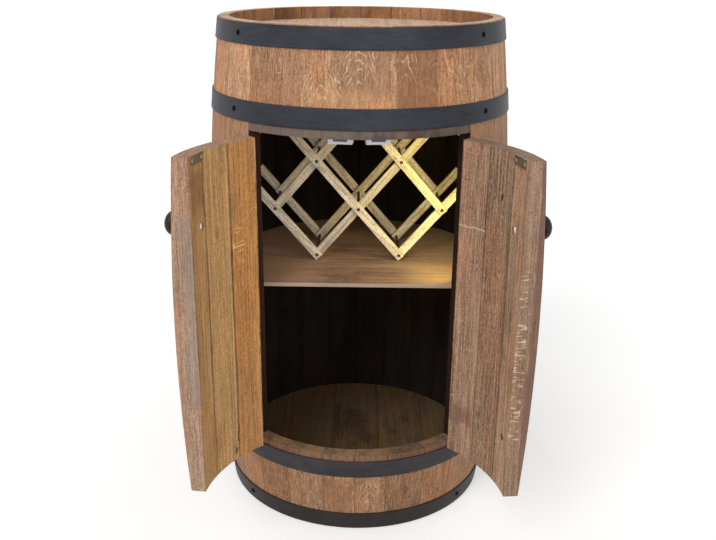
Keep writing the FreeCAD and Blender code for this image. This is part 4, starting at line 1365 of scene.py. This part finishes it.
@cache
def screw_tree() -> bpy.types.NodeTree:
    """Make the tree that puts countersunk cross-head screws on points.

    Returns:
        The tree, which is made once.
    """
    graph, given = geometry_tree("countersunk screws", {
        "Head Radius": 0.003, "Head Depth": 0.0015, "Shank Radius": 0.0015,
        "Shank Length": 0.014}, ("Material",))
    radius, deep, length = given["Head Radius"], given["Head Depth"], given["Shank Length"]
    head = graph.add("GeometryNodeMeshCone", {
        "Vertices": 24, "Radius Top": radius, "Radius Bottom": given["Shank Radius"],
        "Depth": deep})
    lowered = graph.moved(head, Translation=graph.combine(0.0, 0.0, deep * -1.0))
    arm = graph.add("GeometryNodeMeshCube", {
        "Size": graph.combine(radius * 1.25, radius * 0.3, deep * 1.3)})
    cut = graph.cut(lowered, arm, graph.moved(arm, Rotation=QUARTER_TURN))
    shank = graph.add("GeometryNodeMeshCylinder", {
        "Vertices": 12, "Radius": given["Shank Radius"], "Depth": length - deep})
    sunk = graph.moved(shank, Translation=graph.combine(0.0, 0.0, (length + deep) * -0.5))
    placed = spread(graph, given["Geometry"], graph.joined(cut, sunk),
                    Rotation=facing_turn(graph))
    return graph.close(Geometry=finished(graph, placed, given["Material"]))


@cache
def slat_tree() -> bpy.types.NodeTree:
    """Make the tree that puts straight slats on points, each with its own tilt and length.

    Returns:
        The tree, which is made once.
    """
    graph, given = geometry_tree("rack slats", {"Width": 0.014, "Thickness": 0.006},
                                 ("Material",))
    width, thickness, span = given["Width"], given["Thickness"], graph.stored("span")
    block = graph.add("GeometryNodeMeshCube", {"Size": (1, 1, 1)})
    block = graph.store(block, "unit", graph.add("GeometryNodeInputPosition"), "FLOAT_VECTOR")
    tilt = graph.add("FunctionNodeEulerToRotation", {
        "Euler": graph.combine(0.0, graph.stored("tilt"), 0.0)})
    slats = spread(graph, given["Geometry"], block, Rotation=tilt,
                   Scale=graph.combine(span, thickness, width))
    along, deep, across = graph.split(graph.stored("unit", "FLOAT_VECTOR"))
    grain = graph.combine(across * width, deep * thickness, along * span)
    slats = graph.store(graph.store(slats, "grain", grain, "FLOAT_VECTOR"), "seam", 1.0)
    return graph.close(Geometry=finished(graph, slats, given["Material"]))


# --- fasteners -------------------------------------------------------------------------------

@dataclass(frozen=True)
class Fastener:
    """A kind of rivet, dowel, bolt or screw: its tree, its finish, its slot and its sizes.

    The tree's origin lies so far below the end of each solid.
    """

    tree: Callable[[], bpy.types.NodeTree]
    finish: Finish
    slot: str
    sizes: dict[str, float]
    below: float = 0.0

    def stand(self, name: str, node: str, found: Sequence[Seat], body: str = CABINET,
              spins: Optional[Sequence[float]] = None) -> None:
        """Stand one in the place of each of a node's solids.

        Args:
            name: The piece's name.
            node: The CAD node.
            found: Where the node's solids lie.
            body: The body that they ride on.
            spins: The turn of each about its own axis, in radians; none if left out.
        """
        mesh = grown(self.tree(), node, {
            "facing": [seat.facing for seat in found], "spin": spins or [0.0] * len(found),
        }, self.sizes | {"Material": self.finish.material()},
            places=[seat.head(self.below) for seat in found])
        finish_piece(name, mesh, body, self.slot, node)


def screws(node: str, body: str, length: float, spin: random.Random) -> None:
    """Stand countersunk screws in the place of a node's screws, each turned by chance.

    Args:
        node: The CAD node.
        body: The body that they ride on.
        length: Their length, in metres.
        spin: Where their turns are drawn from.
    """
    found = seats(node)
    Fastener(screw_tree, ZINC, "screw_steel", {"Shank Length": length}).stand(
        node + "_steel", node, found, body, [spin.uniform(0, math.pi) for _ in found])


# --- the barrel ------------------------------------------------------------------------------

@dataclass(frozen=True)
class Board:
    """One board of the wall: its angles in degrees, its foot and top in metres, and its tone."""

    start: float
    end: float
    foot: float = 0.0
    top: float = 0.8
    tone: Optional[float] = None


@dataclass(frozen=True)
class Faces:
    """The finishes of a board's faces: outer, inner, between two boards, and its ends."""

    outside: WoodFinish = OAK_OUTSIDE
    inside: WoodFinish = OAK_INSIDE
    side: WoodFinish = OAK_SIDE
    end: WoodFinish = OAK_RIM


@dataclass(frozen=True)
class Joint:
    """How boards meet: the gap, their edges' rounding, and how far a worn joint opens."""

    gap: float = 0.0003
    edge: float = 0.0004
    uneven: float = 0.0


@dataclass
class Barrel:
    """The barrel's wall: its staves and the short boards above and below the opening.

    The jamb tones are those of the staves at the opening, the right one first. A board's face may
    be sunk a little below its neighbours'.
    """

    height: float = 0.8
    bilge_radius: float = 0.248
    bulge: float = 0.0255
    wall_radius: float = 0.216
    end_bore: float = 0.206
    taper: float = 0.11
    head_top: float = 0.78
    opening_foot: float = 0.145
    opening_top: float = 0.649
    jamb_angle: float = 42.5
    front_angles: tuple[float, ...] = (-42.5, -28.0, -12.5, 0.0, 12.5, 28.0, 42.5)
    front_joint: Joint = Joint(0.0001, 0.0002)
    front_tones: tuple[float, ...] = (0.18, 0.42, 0.6, 0.66, 0.3, 0.5)
    jamb_tones: tuple[float, float] = (0.44, 0.86)
    side_staves: int = 9
    named_staves: int = 5
    sunk: float = 0.0003
    chance: random.Random = field(default_factory=lambda: random.Random(7))

    def outside(self, height: float) -> float:
        """Return the outside radius of the wall at a height."""
        bow = ((self.height / 2) ** 2 + self.bulge ** 2) / (2 * self.bulge)
        return self.bilge_radius - bow + math.sqrt(bow ** 2 - (height - self.height / 2) ** 2)

    def boards(self, name: str, rows: Sequence[Board], faces: Faces = Faces(),
               joint: Joint = Joint()) -> bpy.types.Mesh:
        """Bend boards into the wall.

        Args:
            name: The mesh's name.
            rows: The boards.
            faces: Their finishes.
            joint: How they meet.

        Returns:
            The mesh.
        """
        chance = self.chance
        return grown(stave_tree(), name, {
            "start": [math.radians(row.start) for row in rows],
            "end": [math.radians(row.end) for row in rows],
            "foot": [row.foot for row in rows],
            "top": [row.top for row in rows],
            "board": [chance.random() if row.tone is None else row.tone for row in rows],
            "proud": [chance.uniform(-self.sunk, 0.0) for _ in rows],
        }, {
            "Barrel Height": self.height, "Bilge Radius": self.bilge_radius,
            "Bulge": self.bulge, "Wall Radius": self.wall_radius, "End Bore": self.end_bore,
            "Taper": self.taper, "Joint": joint.gap, "Unevenness": joint.uneven,
            "Head Top": self.head_top, "Outside": faces.outside.material(),
            "Inside": faces.inside.material(), "Rim Inside": OAK_CHIME.material(),
            "Side": faces.side.material(), "End": faces.end.material(),
        }, edge=joint.edge)

    def fixed(self, name: str, node: str, rows: Sequence[Board], faces: Faces = Faces(),
              joint: Joint = Joint()) -> None:
        """Build a piece of the wall that stays put.

        Args:
            name: The piece's name, without its wood.
            node: The CAD node that it stands for.
            rows: The boards.
            faces: Their finishes.
            joint: How they meet.
        """
        finish_piece(name + "_oak", self.boards(name, rows, faces, joint), CABINET,
                     "oak_staves", node)

    def build(self) -> None:
        """Build every stave of the wall."""
        step = (180 - self.jamb_angle) / self.side_staves
        back = []
        for number in range(self.side_staves):
            start = self.jamb_angle + number * step
            tones = (None, None) if number else self.jamb_tones
            pair = (Board(start, start + step, tone=tones[0]),
                    Board(-start - step, -start, tone=tones[1]))
            if number >= self.named_staves:
                back += pair
                continue
            for side, row in zip(("right", "left"), pair):
                node = "%s_stave_%d" % (side, number + 1)
                self.fixed(node, node, [row])
        self.fixed("back_staves", "back_staves", back)
        for name, foot, top, faces in (
                ("upper_front", self.opening_top, self.height, Faces(OAK_UPPER)),
                ("lower_front", 0.0, self.opening_foot, Faces(OAK_LOWER, end=OAK_SILL))):
            rows = [Board(start, end, foot, top, tone) for start, end, tone in zip(
                self.front_angles, self.front_angles[1:], self.front_tones)]
            self.fixed(name, name + "_staves", rows, faces, self.front_joint)


@dataclass(frozen=True)
class Head:
    """One head: its CAD node, its radius, the height of its underside and its finish."""

    node: str
    radius: float
    foot: float
    finish: WoodFinish


@dataclass
class Heads:
    """The round top and floor of the barrel, each of boards laid side by side."""

    heads: tuple[Head, ...] = (Head("top_head", 0.2123, 0.762, OAK_HEAD),
                               Head("bottom_head", 0.213, 0.028, OAK_FLOOR))
    thickness: float = 0.018
    board_width: float = 0.084
    seams: tuple[float, ...] = (-1.5, -0.5, 0.5, 1.5)
    rim_angle: float = 88.5
    joint: Joint = Joint()

    def build(self) -> None:
        """Build both heads."""
        chance = random.Random(11)
        limit = math.radians(self.rim_angle)
        for head in self.heads:
            angles = [-limit, *(math.asin(self.board_width * count / head.radius)
                                for count in self.seams), limit]
            mesh = grown(head_tree(), head.node, {
                "start": angles[:-1], "end": angles[1:],
                "board": [chance.random() for _ in angles[1:]],
            }, {"Radius": head.radius, "Thickness": self.thickness, "Foot": head.foot,
                "Joint": self.joint.gap, "Face": head.finish.material()},
                edge=self.joint.edge)
            finish_piece(head.node + "_oak", mesh, CABINET, "oak_heads", head.node)


@dataclass
class Hoops:
    """The four steel hoops and the rivets that hold them."""

    barrel: Barrel
    width: float = 0.03
    thickness: float = 0.002
    clearance: float = 0.0001
    edge: float = 0.0006
    edge_steps: int = 3
    face_steps: int = 6
    sides: int = 192
    rivet_radius: float = 0.0042
    rivet_height: float = 0.0028
    feet: dict[str, float] = field(default_factory=lambda: {
        "top_hoop": 0.7685, "upper_hoop": 0.661, "lower_hoop": 0.105, "bottom_hoop": 0.0015})

    def profile(self, foot: float) -> list[tuple[float, float]]:
        """Return a hoop's rounded outline.

        Args:
            foot: The height of the hoop's foot.

        Returns:
            Pairs of radius and height, in metres.
        """
        top, edge = foot + self.width, self.edge
        inner = [self.barrel.outside(height) + self.clearance for height in (foot, top)]
        outer = [radius + self.thickness for radius in inner]
        turns = [math.pi / 2 * step / self.edge_steps for step in range(self.edge_steps + 1)]
        rises = [step / self.face_steps for step in range(1, self.face_steps)]
        return [(inner[0], foot),
                *((outer[0] - edge + edge * math.sin(turn), foot + edge - edge * math.cos(turn))
                  for turn in turns),
                *((outer[0] + (outer[1] - outer[0]) * rise, foot + self.width * rise)
                  for rise in rises),
                *((outer[1] - edge + edge * math.cos(turn), top - edge + edge * math.sin(turn))
                  for turn in turns),
                (inner[1], top)]

    def build(self) -> None:
        """Build the hoops and the rivets."""
        for node, foot in self.feet.items():
            mesh = turned(node, self.profile(foot), closed=True, sides=self.sides)
            mark(mesh, "seam", lambda co, low=foot: min(co.z - low, low + self.width - co.z))
            mesh.materials.append(HOOP_FINISHES[node].material())
            finish_piece(node + "_band", mesh, CABINET, "hoop_black", node)
        Fastener(stud_tree, RIVET_PAINT, "rivet_steel", {
            "Head Radius": self.rivet_radius, "Head Height": self.rivet_height,
        }, self.rivet_height).stand("hoop_rivet_heads", "hoop_rivets", seats("hoop_rivets"))


# --- the doors -------------------------------------------------------------------------------

class Side(Enum):
    """Which side of the opening a door hangs on."""

    LEFT = -1
    RIGHT = 1


@dataclass(frozen=True)
class Knob:
    """A turned knob, its profile as radius and height, and the bolt that holds it."""

    angle: float = 10.0
    height: float = 0.545
    foot_radius: float = 0.008
    sides: int = 64
    tone: float = 0.3
    profile: tuple[tuple[float, float], ...] = (
        (0.0, 0.0), (0.0078, 0.0), (0.0080, 0.0006), (0.0073, 0.003), (0.0066, 0.006),
        (0.0064, 0.0082), (0.0072, 0.0092), (0.0110, 0.0098), (0.0150, 0.0107),
        (0.0166, 0.0120), (0.0170, 0.0138), (0.0169, 0.0158), (0.0163, 0.0176),
        (0.0150, 0.0197), (0.0130, 0.0218), (0.0105, 0.0234), (0.0075, 0.0245),
        (0.0040, 0.0250), (0.0, 0.0250))
    bolt_head_radius: float = 0.0052
    bolt_head_height: float = 0.0046
    bolt_radius: float = 0.002
    bolt_head_inside: float = 0.0026
    bolt_recess: float = 0.0008
    bolt_spin: float = 0.6


@dataclass
class Door:
    """One door: three boards, a knob and its bolt, two hinge leaves and a strike plate."""

    side: Side
    barrel: Barrel
    open_angle: float
    boards: dict[str, WoodFinish]
    free_edge: WoodFinish
    joint: Joint
    foot: float = 0.148
    top: float = 0.646
    pin_angle: float = 42.0416
    pin_radius: float = 0.25
    angles: tuple[float, ...] = (0.3466, 12.5, 28.0, 41.583)
    knob: Knob = Knob()
    plate_edge: float = 0.0003
    screw_length: float = 0.014
    seed: int = 23

    @property
    def name(self) -> str:
        """The side's name."""
        return self.side.name.lower()

    @property
    def body(self) -> str:
        """The body's name."""
        return self.name + "_door"

    @property
    def swing(self) -> Matrix:
        """The turn about the hinge pins from shut to the door's place at rest."""
        angle = math.radians(self.pin_angle) * self.side.value
        pin = Vector((self.pin_radius * math.sin(angle), -self.pin_radius * math.cos(angle), 0))
        turn = Matrix.Rotation(math.radians(self.open_angle) * self.side.value, 4, "Z")
        return Matrix.Translation(pin) @ turn @ Matrix.Translation(-pin)

    def build(self) -> None:
        """Build the door's pieces."""
        for (board, finish), start, end in zip(self.boards.items(), self.angles,
                                               self.angles[1:]):
            if self.side is Side.LEFT:
                start, end = -end, -start
            mesh = self.barrel.boards(
                board, [Board(start, end, self.foot, self.top)],
                Faces(OAK_OUTSIDE, finish, self.free_edge, self.free_edge), self.joint)
            mesh.transform(self.swing)
            node = "%s_%s_board" % (self.name, board)
            finish_piece(node + "_oak", mesh, self.body, "oak_" + self.body, node)
        self.build_knob()
        self.build_bolt()
        for node, piece, finish, slot in (
                ("_hinge_leaves", "_hinge_leaf_steel", HINGE, "hinge_steel"),
                ("_strike_plate", "_strike_plate_steel", STRIKE, "strike_steel")):
            softened(self.name + node, self.name + piece, finish, slot, self.plate_edge,
                     self.body)
        screws(self.name + "_door_screws", self.body, self.screw_length,
               random.Random(self.seed + self.side.value))

    def build_knob(self) -> None:
        """Build the turned knob, which stands on the door's outer face."""
        knob, node = self.knob, self.name + "_knob"
        mesh = turned(node, knob.profile, closed=False, sides=knob.sides)
        mark_one_board(mesh, lambda co: Vector((co.x, co.z, co.y)), knob.tone)
        mesh.materials.append(KNOB_WOOD.material())
        angle = math.radians(knob.angle) * self.side.value
        foot = math.sqrt(self.barrel.outside(knob.height + knob.foot_radius) ** 2
                         - knob.foot_radius ** 2)
        outwards = Vector((math.sin(angle), -math.cos(angle), 0))
        across = Vector((math.cos(angle), math.sin(angle), 0))
        mesh.transform(self.swing @ standing((across, outwards.cross(across), outwards),
                                             outwards * foot + UP * knob.height))
        finish_piece(node + "_turned", mesh, self.body, "knob_wood", node)

    def build_bolt(self) -> None:
        """Build the knob's bolt, with its head on the door's inner face."""
        knob, node = self.knob, self.name + "_knob_bolt"
        found = seats(node)
        Fastener(stud_tree, ZINC, "screw_steel", {
            "Head Radius": knob.bolt_head_radius, "Head Height": knob.bolt_head_height,
            "Shank Radius": knob.bolt_radius, "Recess": knob.bolt_recess,
            "Shank Length": found[0].length - knob.bolt_head_inside,
        }, knob.bolt_head_inside).stand(node + "_steel", node, found, self.body,
                                        [knob.bolt_spin])


# --- what is fixed inside --------------------------------------------------------------------

@dataclass
class Fittings:
    """The hinges' fixed leaves and pins, the catches, the rail and the cleats."""

    leaf_edge: float = 0.0003
    pin_edge: float = 0.0002
    case_edge: float = 0.0005
    rail_edge: float = 0.0008
    cleat_edge: float = 0.0012
    cleat_radius: float = 0.22
    screw_lengths: dict[str, float] = field(default_factory=lambda: {
        "jamb_hinge_screws": 0.014, "cleat_screws": 0.034, "catch_screws": 0.026})

    def cleat_grain(self, place: Vector) -> Vector:
        """Return a cleat's own coordinates, which follow the barrel's wall round."""
        return Vector((place.z, math.hypot(place.x, place.y),
                       math.atan2(place.x, -place.y) * self.cleat_radius))

    def build(self) -> None:
        """Build the fittings on the cabinet."""
        for side in ("left", "right"):
            softened(side + "_jamb_hinge_leaves", side + "_jamb_leaf_steel", HINGE,
                     "hinge_steel", self.leaf_edge)
            softened(side + "_hinge_pins", side + "_hinge_pin_steel", HINGE, "hinge_steel",
                     self.pin_edge)
            softened(side + "_catch_housing", side + "_catch_case", CATCH, "catch_plastic",
                     self.case_edge)
        softened("catch_magnets", "catch_magnet_bars", MAGNET, "magnet", self.pin_edge)
        softened("catch_pole_plates", "catch_pole_steel", POLE, "hinge_steel", self.pin_edge)
        softened("catch_rail", "catch_rail_wood", OAK_INSIDE, "softwood", self.rail_edge,
                 grain=lambda co: Vector((co.z, co.y, co.x)))
        softened("shelf_cleats", "shelf_cleat_wood", SOFT_WOOD, "softwood", self.cleat_edge,
                 grain=self.cleat_grain)
        spin = random.Random(5)
        for node, length in self.screw_lengths.items():
            screws(node, CABINET, length, spin)


@dataclass
class Shelf:
    """The plywood shelf, which shows more layers through its thickness than a board does."""

    edge: float = 0.0006
    ply_scale: float = 4.0

    def build(self) -> None:
        """Build the shelf."""
        softened("shelf", "shelf_plywood", SHELF_FACE, "shelf_wood", self.edge,
                 grain=lambda co: Vector((co.y, co.z * self.ply_scale, co.x)))


@dataclass
class Rack:
    """The wine rack: two pine lattices of crossed slats, pinned through with dowels."""

    slat_width: float = 0.014
    slat_thickness: float = 0.006
    edge: float = 0.0006
    pin_radius: float = 0.00225
    pin_length: float = 0.121
    pin_end_radius: float = 0.0028
    pin_end_height: float = 0.0006

    def build(self) -> None:
        """Build the slats and the pins."""
        chance = random.Random(3)
        for layer in ("front_falling", "front_rising", "rear_falling", "rear_rising"):
            node = "rack_%s_slats" % layer
            found = seats(node)
            mesh = grown(slat_tree(), node, {
                "tilt": [math.atan2(-seat.facing.z, seat.facing.x) for seat in found],
                "span": [seat.length for seat in found],
                "board": [chance.random() for _ in found],
            }, {"Width": self.slat_width, "Thickness": self.slat_thickness,
                "Material": PINE.material()},
                places=[seat.middle for seat in found], edge=self.edge)
            finish_piece(node + "_pine", mesh, CABINET, "rack_pine", node)
        pins = [replace(seat, facing=FORWARD) for seat in seats("rack_pins")]
        Fastener(stud_tree, DOWEL, "rack_pin", {
            "Head Radius": self.pin_end_radius, "Head Height": self.pin_end_height,
            "Shank Radius": self.pin_radius, "Shank Length": self.pin_length,
        }).stand("rack_pin_dowels", "rack_pins", pins)


@dataclass
class Light:
    """The battery light: a strip behind the right jamb, its box, and the light that it gives.

    Each span is a lit length of the strip: its foot, its top and its power.
    """

    angle: float = 50.0
    radius: float = 0.203
    width: float = 0.012
    spans: tuple[tuple[float, float, float], ...] = ((0.43, 0.64, 0.42), (0.15, 0.37, 0.2))
    colour: Colour = (250, 232, 122)
    tape_edge: float = 0.0003
    case_edge: float = 0.0012

    def build(self) -> None:
        """Build the strip and its box, and add its lamps."""
        softened("led_strip", "led_strip_tape", STRIP, "led_strip", self.tape_edge)
        softened("led_battery_box", "led_battery_case", BATTERY, "battery_box",
                 self.case_edge)
        for number, (foot, top, power) in enumerate(self.spans, start=1):
            self.glow("strip_glow_%d" % number, foot, top, power)

    def glow(self, name: str, foot: float, top: float, power: float) -> None:
        """Add the light of one length of the strip.

        Args:
            name: The lamp's name.
            foot: The height of the length's foot, in metres.
            top: The height of its top, in metres.
            power: The lamp's power.
        """
        data = bpy.data.lights.new(name, "AREA")
        data.shape = "RECTANGLE"
        data.size = self.width
        data.size_y = top - foot
        data.energy = power
        data.color = linear(self.colour)[:3]
        angle = math.radians(self.angle)
        outwards = Vector((math.sin(angle), -math.cos(angle), 0))
        lamp = link(name, data)
        lamp.matrix_world = standing((UP.cross(outwards), UP, outwards),
                                     outwards * self.radius + UP * ((foot + top) / 2))
        lamp.visible_camera = False
        lamp.visible_glossy = False


# --- the studio ------------------------------------------------------------------------------

@dataclass(frozen=True)
class Lamp:
    """A distant lamp: its strength, and its angles from the front, above the floor and across.

    The angle from the front is positive to the right.
    """

    name: str
    strength: float
    from_front: float
    above: float
    across: float

    def build(self) -> None:
        """Add the lamp."""
        data = bpy.data.lights.new(self.name, "SUN")
        data.energy = self.strength
        data.angle = math.radians(self.across)
        side, rise = math.radians(self.from_front), math.radians(self.above)
        towards = Vector((math.sin(side) * math.cos(rise), -math.cos(side) * math.cos(rise),
                          math.sin(rise)))
        link(self.name, data).rotation_euler = towards.to_track_quat("Z", "Y").to_euler()


@dataclass(frozen=True)
class Camera:
    """The camera: its place, its turns in degrees, and its lens in the pixels of its picture."""

    place: tuple[float, float, float] = (0.0, -1.46414, 0.89803)
    yaw: float = -0.789
    pitch: float = 20.290
    roll: float = 0.441
    focal: float = 893.78
    wide: float = 716.0
    high: float = 540.0
    centre: tuple[float, float] = (346.02, 278.47)
    sensor: float = 36.0
    reach: float = 200.0

    def build(self) -> None:
        """Add the camera, a little above the cabinet and looking down at it."""
        yaw, pitch, roll = (math.radians(turn) for turn in (self.yaw, self.pitch, self.roll))
        forward = Vector((math.sin(yaw), math.cos(yaw), 0))
        right = Vector((math.cos(yaw), -math.sin(yaw), 0))
        view = forward * math.cos(pitch) - UP * math.sin(pitch)
        up = right.cross(view)
        across = right * math.cos(roll) + up * math.sin(roll)
        upwards = up * math.cos(roll) - right * math.sin(roll)
        data = bpy.data.cameras.new("camera")
        data.sensor_width = self.sensor
        data.lens = self.focal / self.wide * self.sensor
        data.shift_x = (self.wide / 2 - self.centre[0]) / self.wide
        data.shift_y = (self.centre[1] - self.high / 2) / self.wide
        data.clip_end = self.reach
        camera = link("camera", data)
        camera.matrix_world = standing((across, upwards, -view), Vector(self.place))
        bpy.context.scene.camera = camera


@dataclass
class Studio:
    """The pale floor, the soft lamps and the camera."""

    floor_half: float = 30.0
    world_light: float = 0.62
    floor_tone: float = 0.8
    floor_lift: float = 0.34
    lamps: tuple[Lamp, ...] = (Lamp("key", 1.3, -28.0, 38.0, 30.0),
                               Lamp("fill", 0.7, 20.0, 15.0, 40.0))

    def seen_directly(self, graph: Graph) -> Value:
        """Return 1 for camera, glossy and transmission rays, and 0 for the others."""
        rays = graph.add("ShaderNodeLightPath").outputs
        return graph.math("MAXIMUM", rays["Is Camera Ray"], graph.math(
            "MAXIMUM", rays["Is Glossy Ray"], rays["Is Transmission Ray"]))

    def build_world(self) -> None:
        """Light everything evenly, before a white background."""
        world = bpy.data.worlds.new("studio")
        world.use_nodes = True
        bpy.context.scene.world = world
        graph = Graph(world.node_tree)
        sky = next(node for node in world.node_tree.nodes if node.type == "BACKGROUND")
        sky.inputs["Color"].default_value = (1, 1, 1, 1)
        graph.feed(sky.inputs["Strength"], graph.span(
            self.seen_directly(graph), 0.0, 1.0, self.world_light, 1.0, smooth=False))

    def build_floor(self) -> None:
        """Add the floor, which keeps the cabinet's shadow."""
        half = self.floor_half
        mesh = bpy.data.meshes.new("floor")
        mesh.from_pydata([(-half, -half, 0), (half, -half, 0), (half, half, 0),
                          (-half, half, 0)], [], [(0, 1, 2, 3)])
        floor = link("floor", mesh)
        graph, shader = start_material("studio floor")
        for name, value in (
                ("Base Color", (self.floor_tone,) * 3 + (1,)), ("Roughness", 1.0),
                ("Specular IOR Level", 0.0), ("Emission Color", (1, 1, 1, 1)),
                ("Emission Strength", self.seen_directly(graph) * self.floor_lift)):
            graph.feed(shader.inputs[name], value)
        mesh.materials.append(bpy.data.materials["studio floor"])

    def build(self) -> None:
        """Build the studio."""
        bpy.context.scene.view_settings.view_transform = "Standard"
        self.build_world()
        self.build_floor()
        for lamp in self.lamps:
            lamp.build()
        Camera().build()


def main() -> None:
    """Build the cabinet and its studio."""
    logging.basicConfig(level=logging.INFO, format="%(name)s: %(message)s")
    Studio().build()
    barrel = Barrel()
    barrel.build()
    Heads().build()
    Hoops(barrel).build()
    Door(Side.LEFT, barrel, 97.3, {"meeting": LEFT_MEETING, "middle": LEFT_MIDDLE,
                                   "hinge": LEFT_HINGE}, LEFT_EDGE,
         Joint(0.0006, 0.0007, 0.003)).build()
    Door(Side.RIGHT, barrel, 96.5, {"meeting": RIGHT_MEETING, "middle": RIGHT_MIDDLE,
                                    "hinge": RIGHT_HINGE}, RIGHT_EDGE,
         Joint(0.0003, 0.0007, 0.0015)).build()
    Fittings().build()
    Shelf().build()
    Rack().build()
    Light().build()


if __name__ == "__main__":
    main()
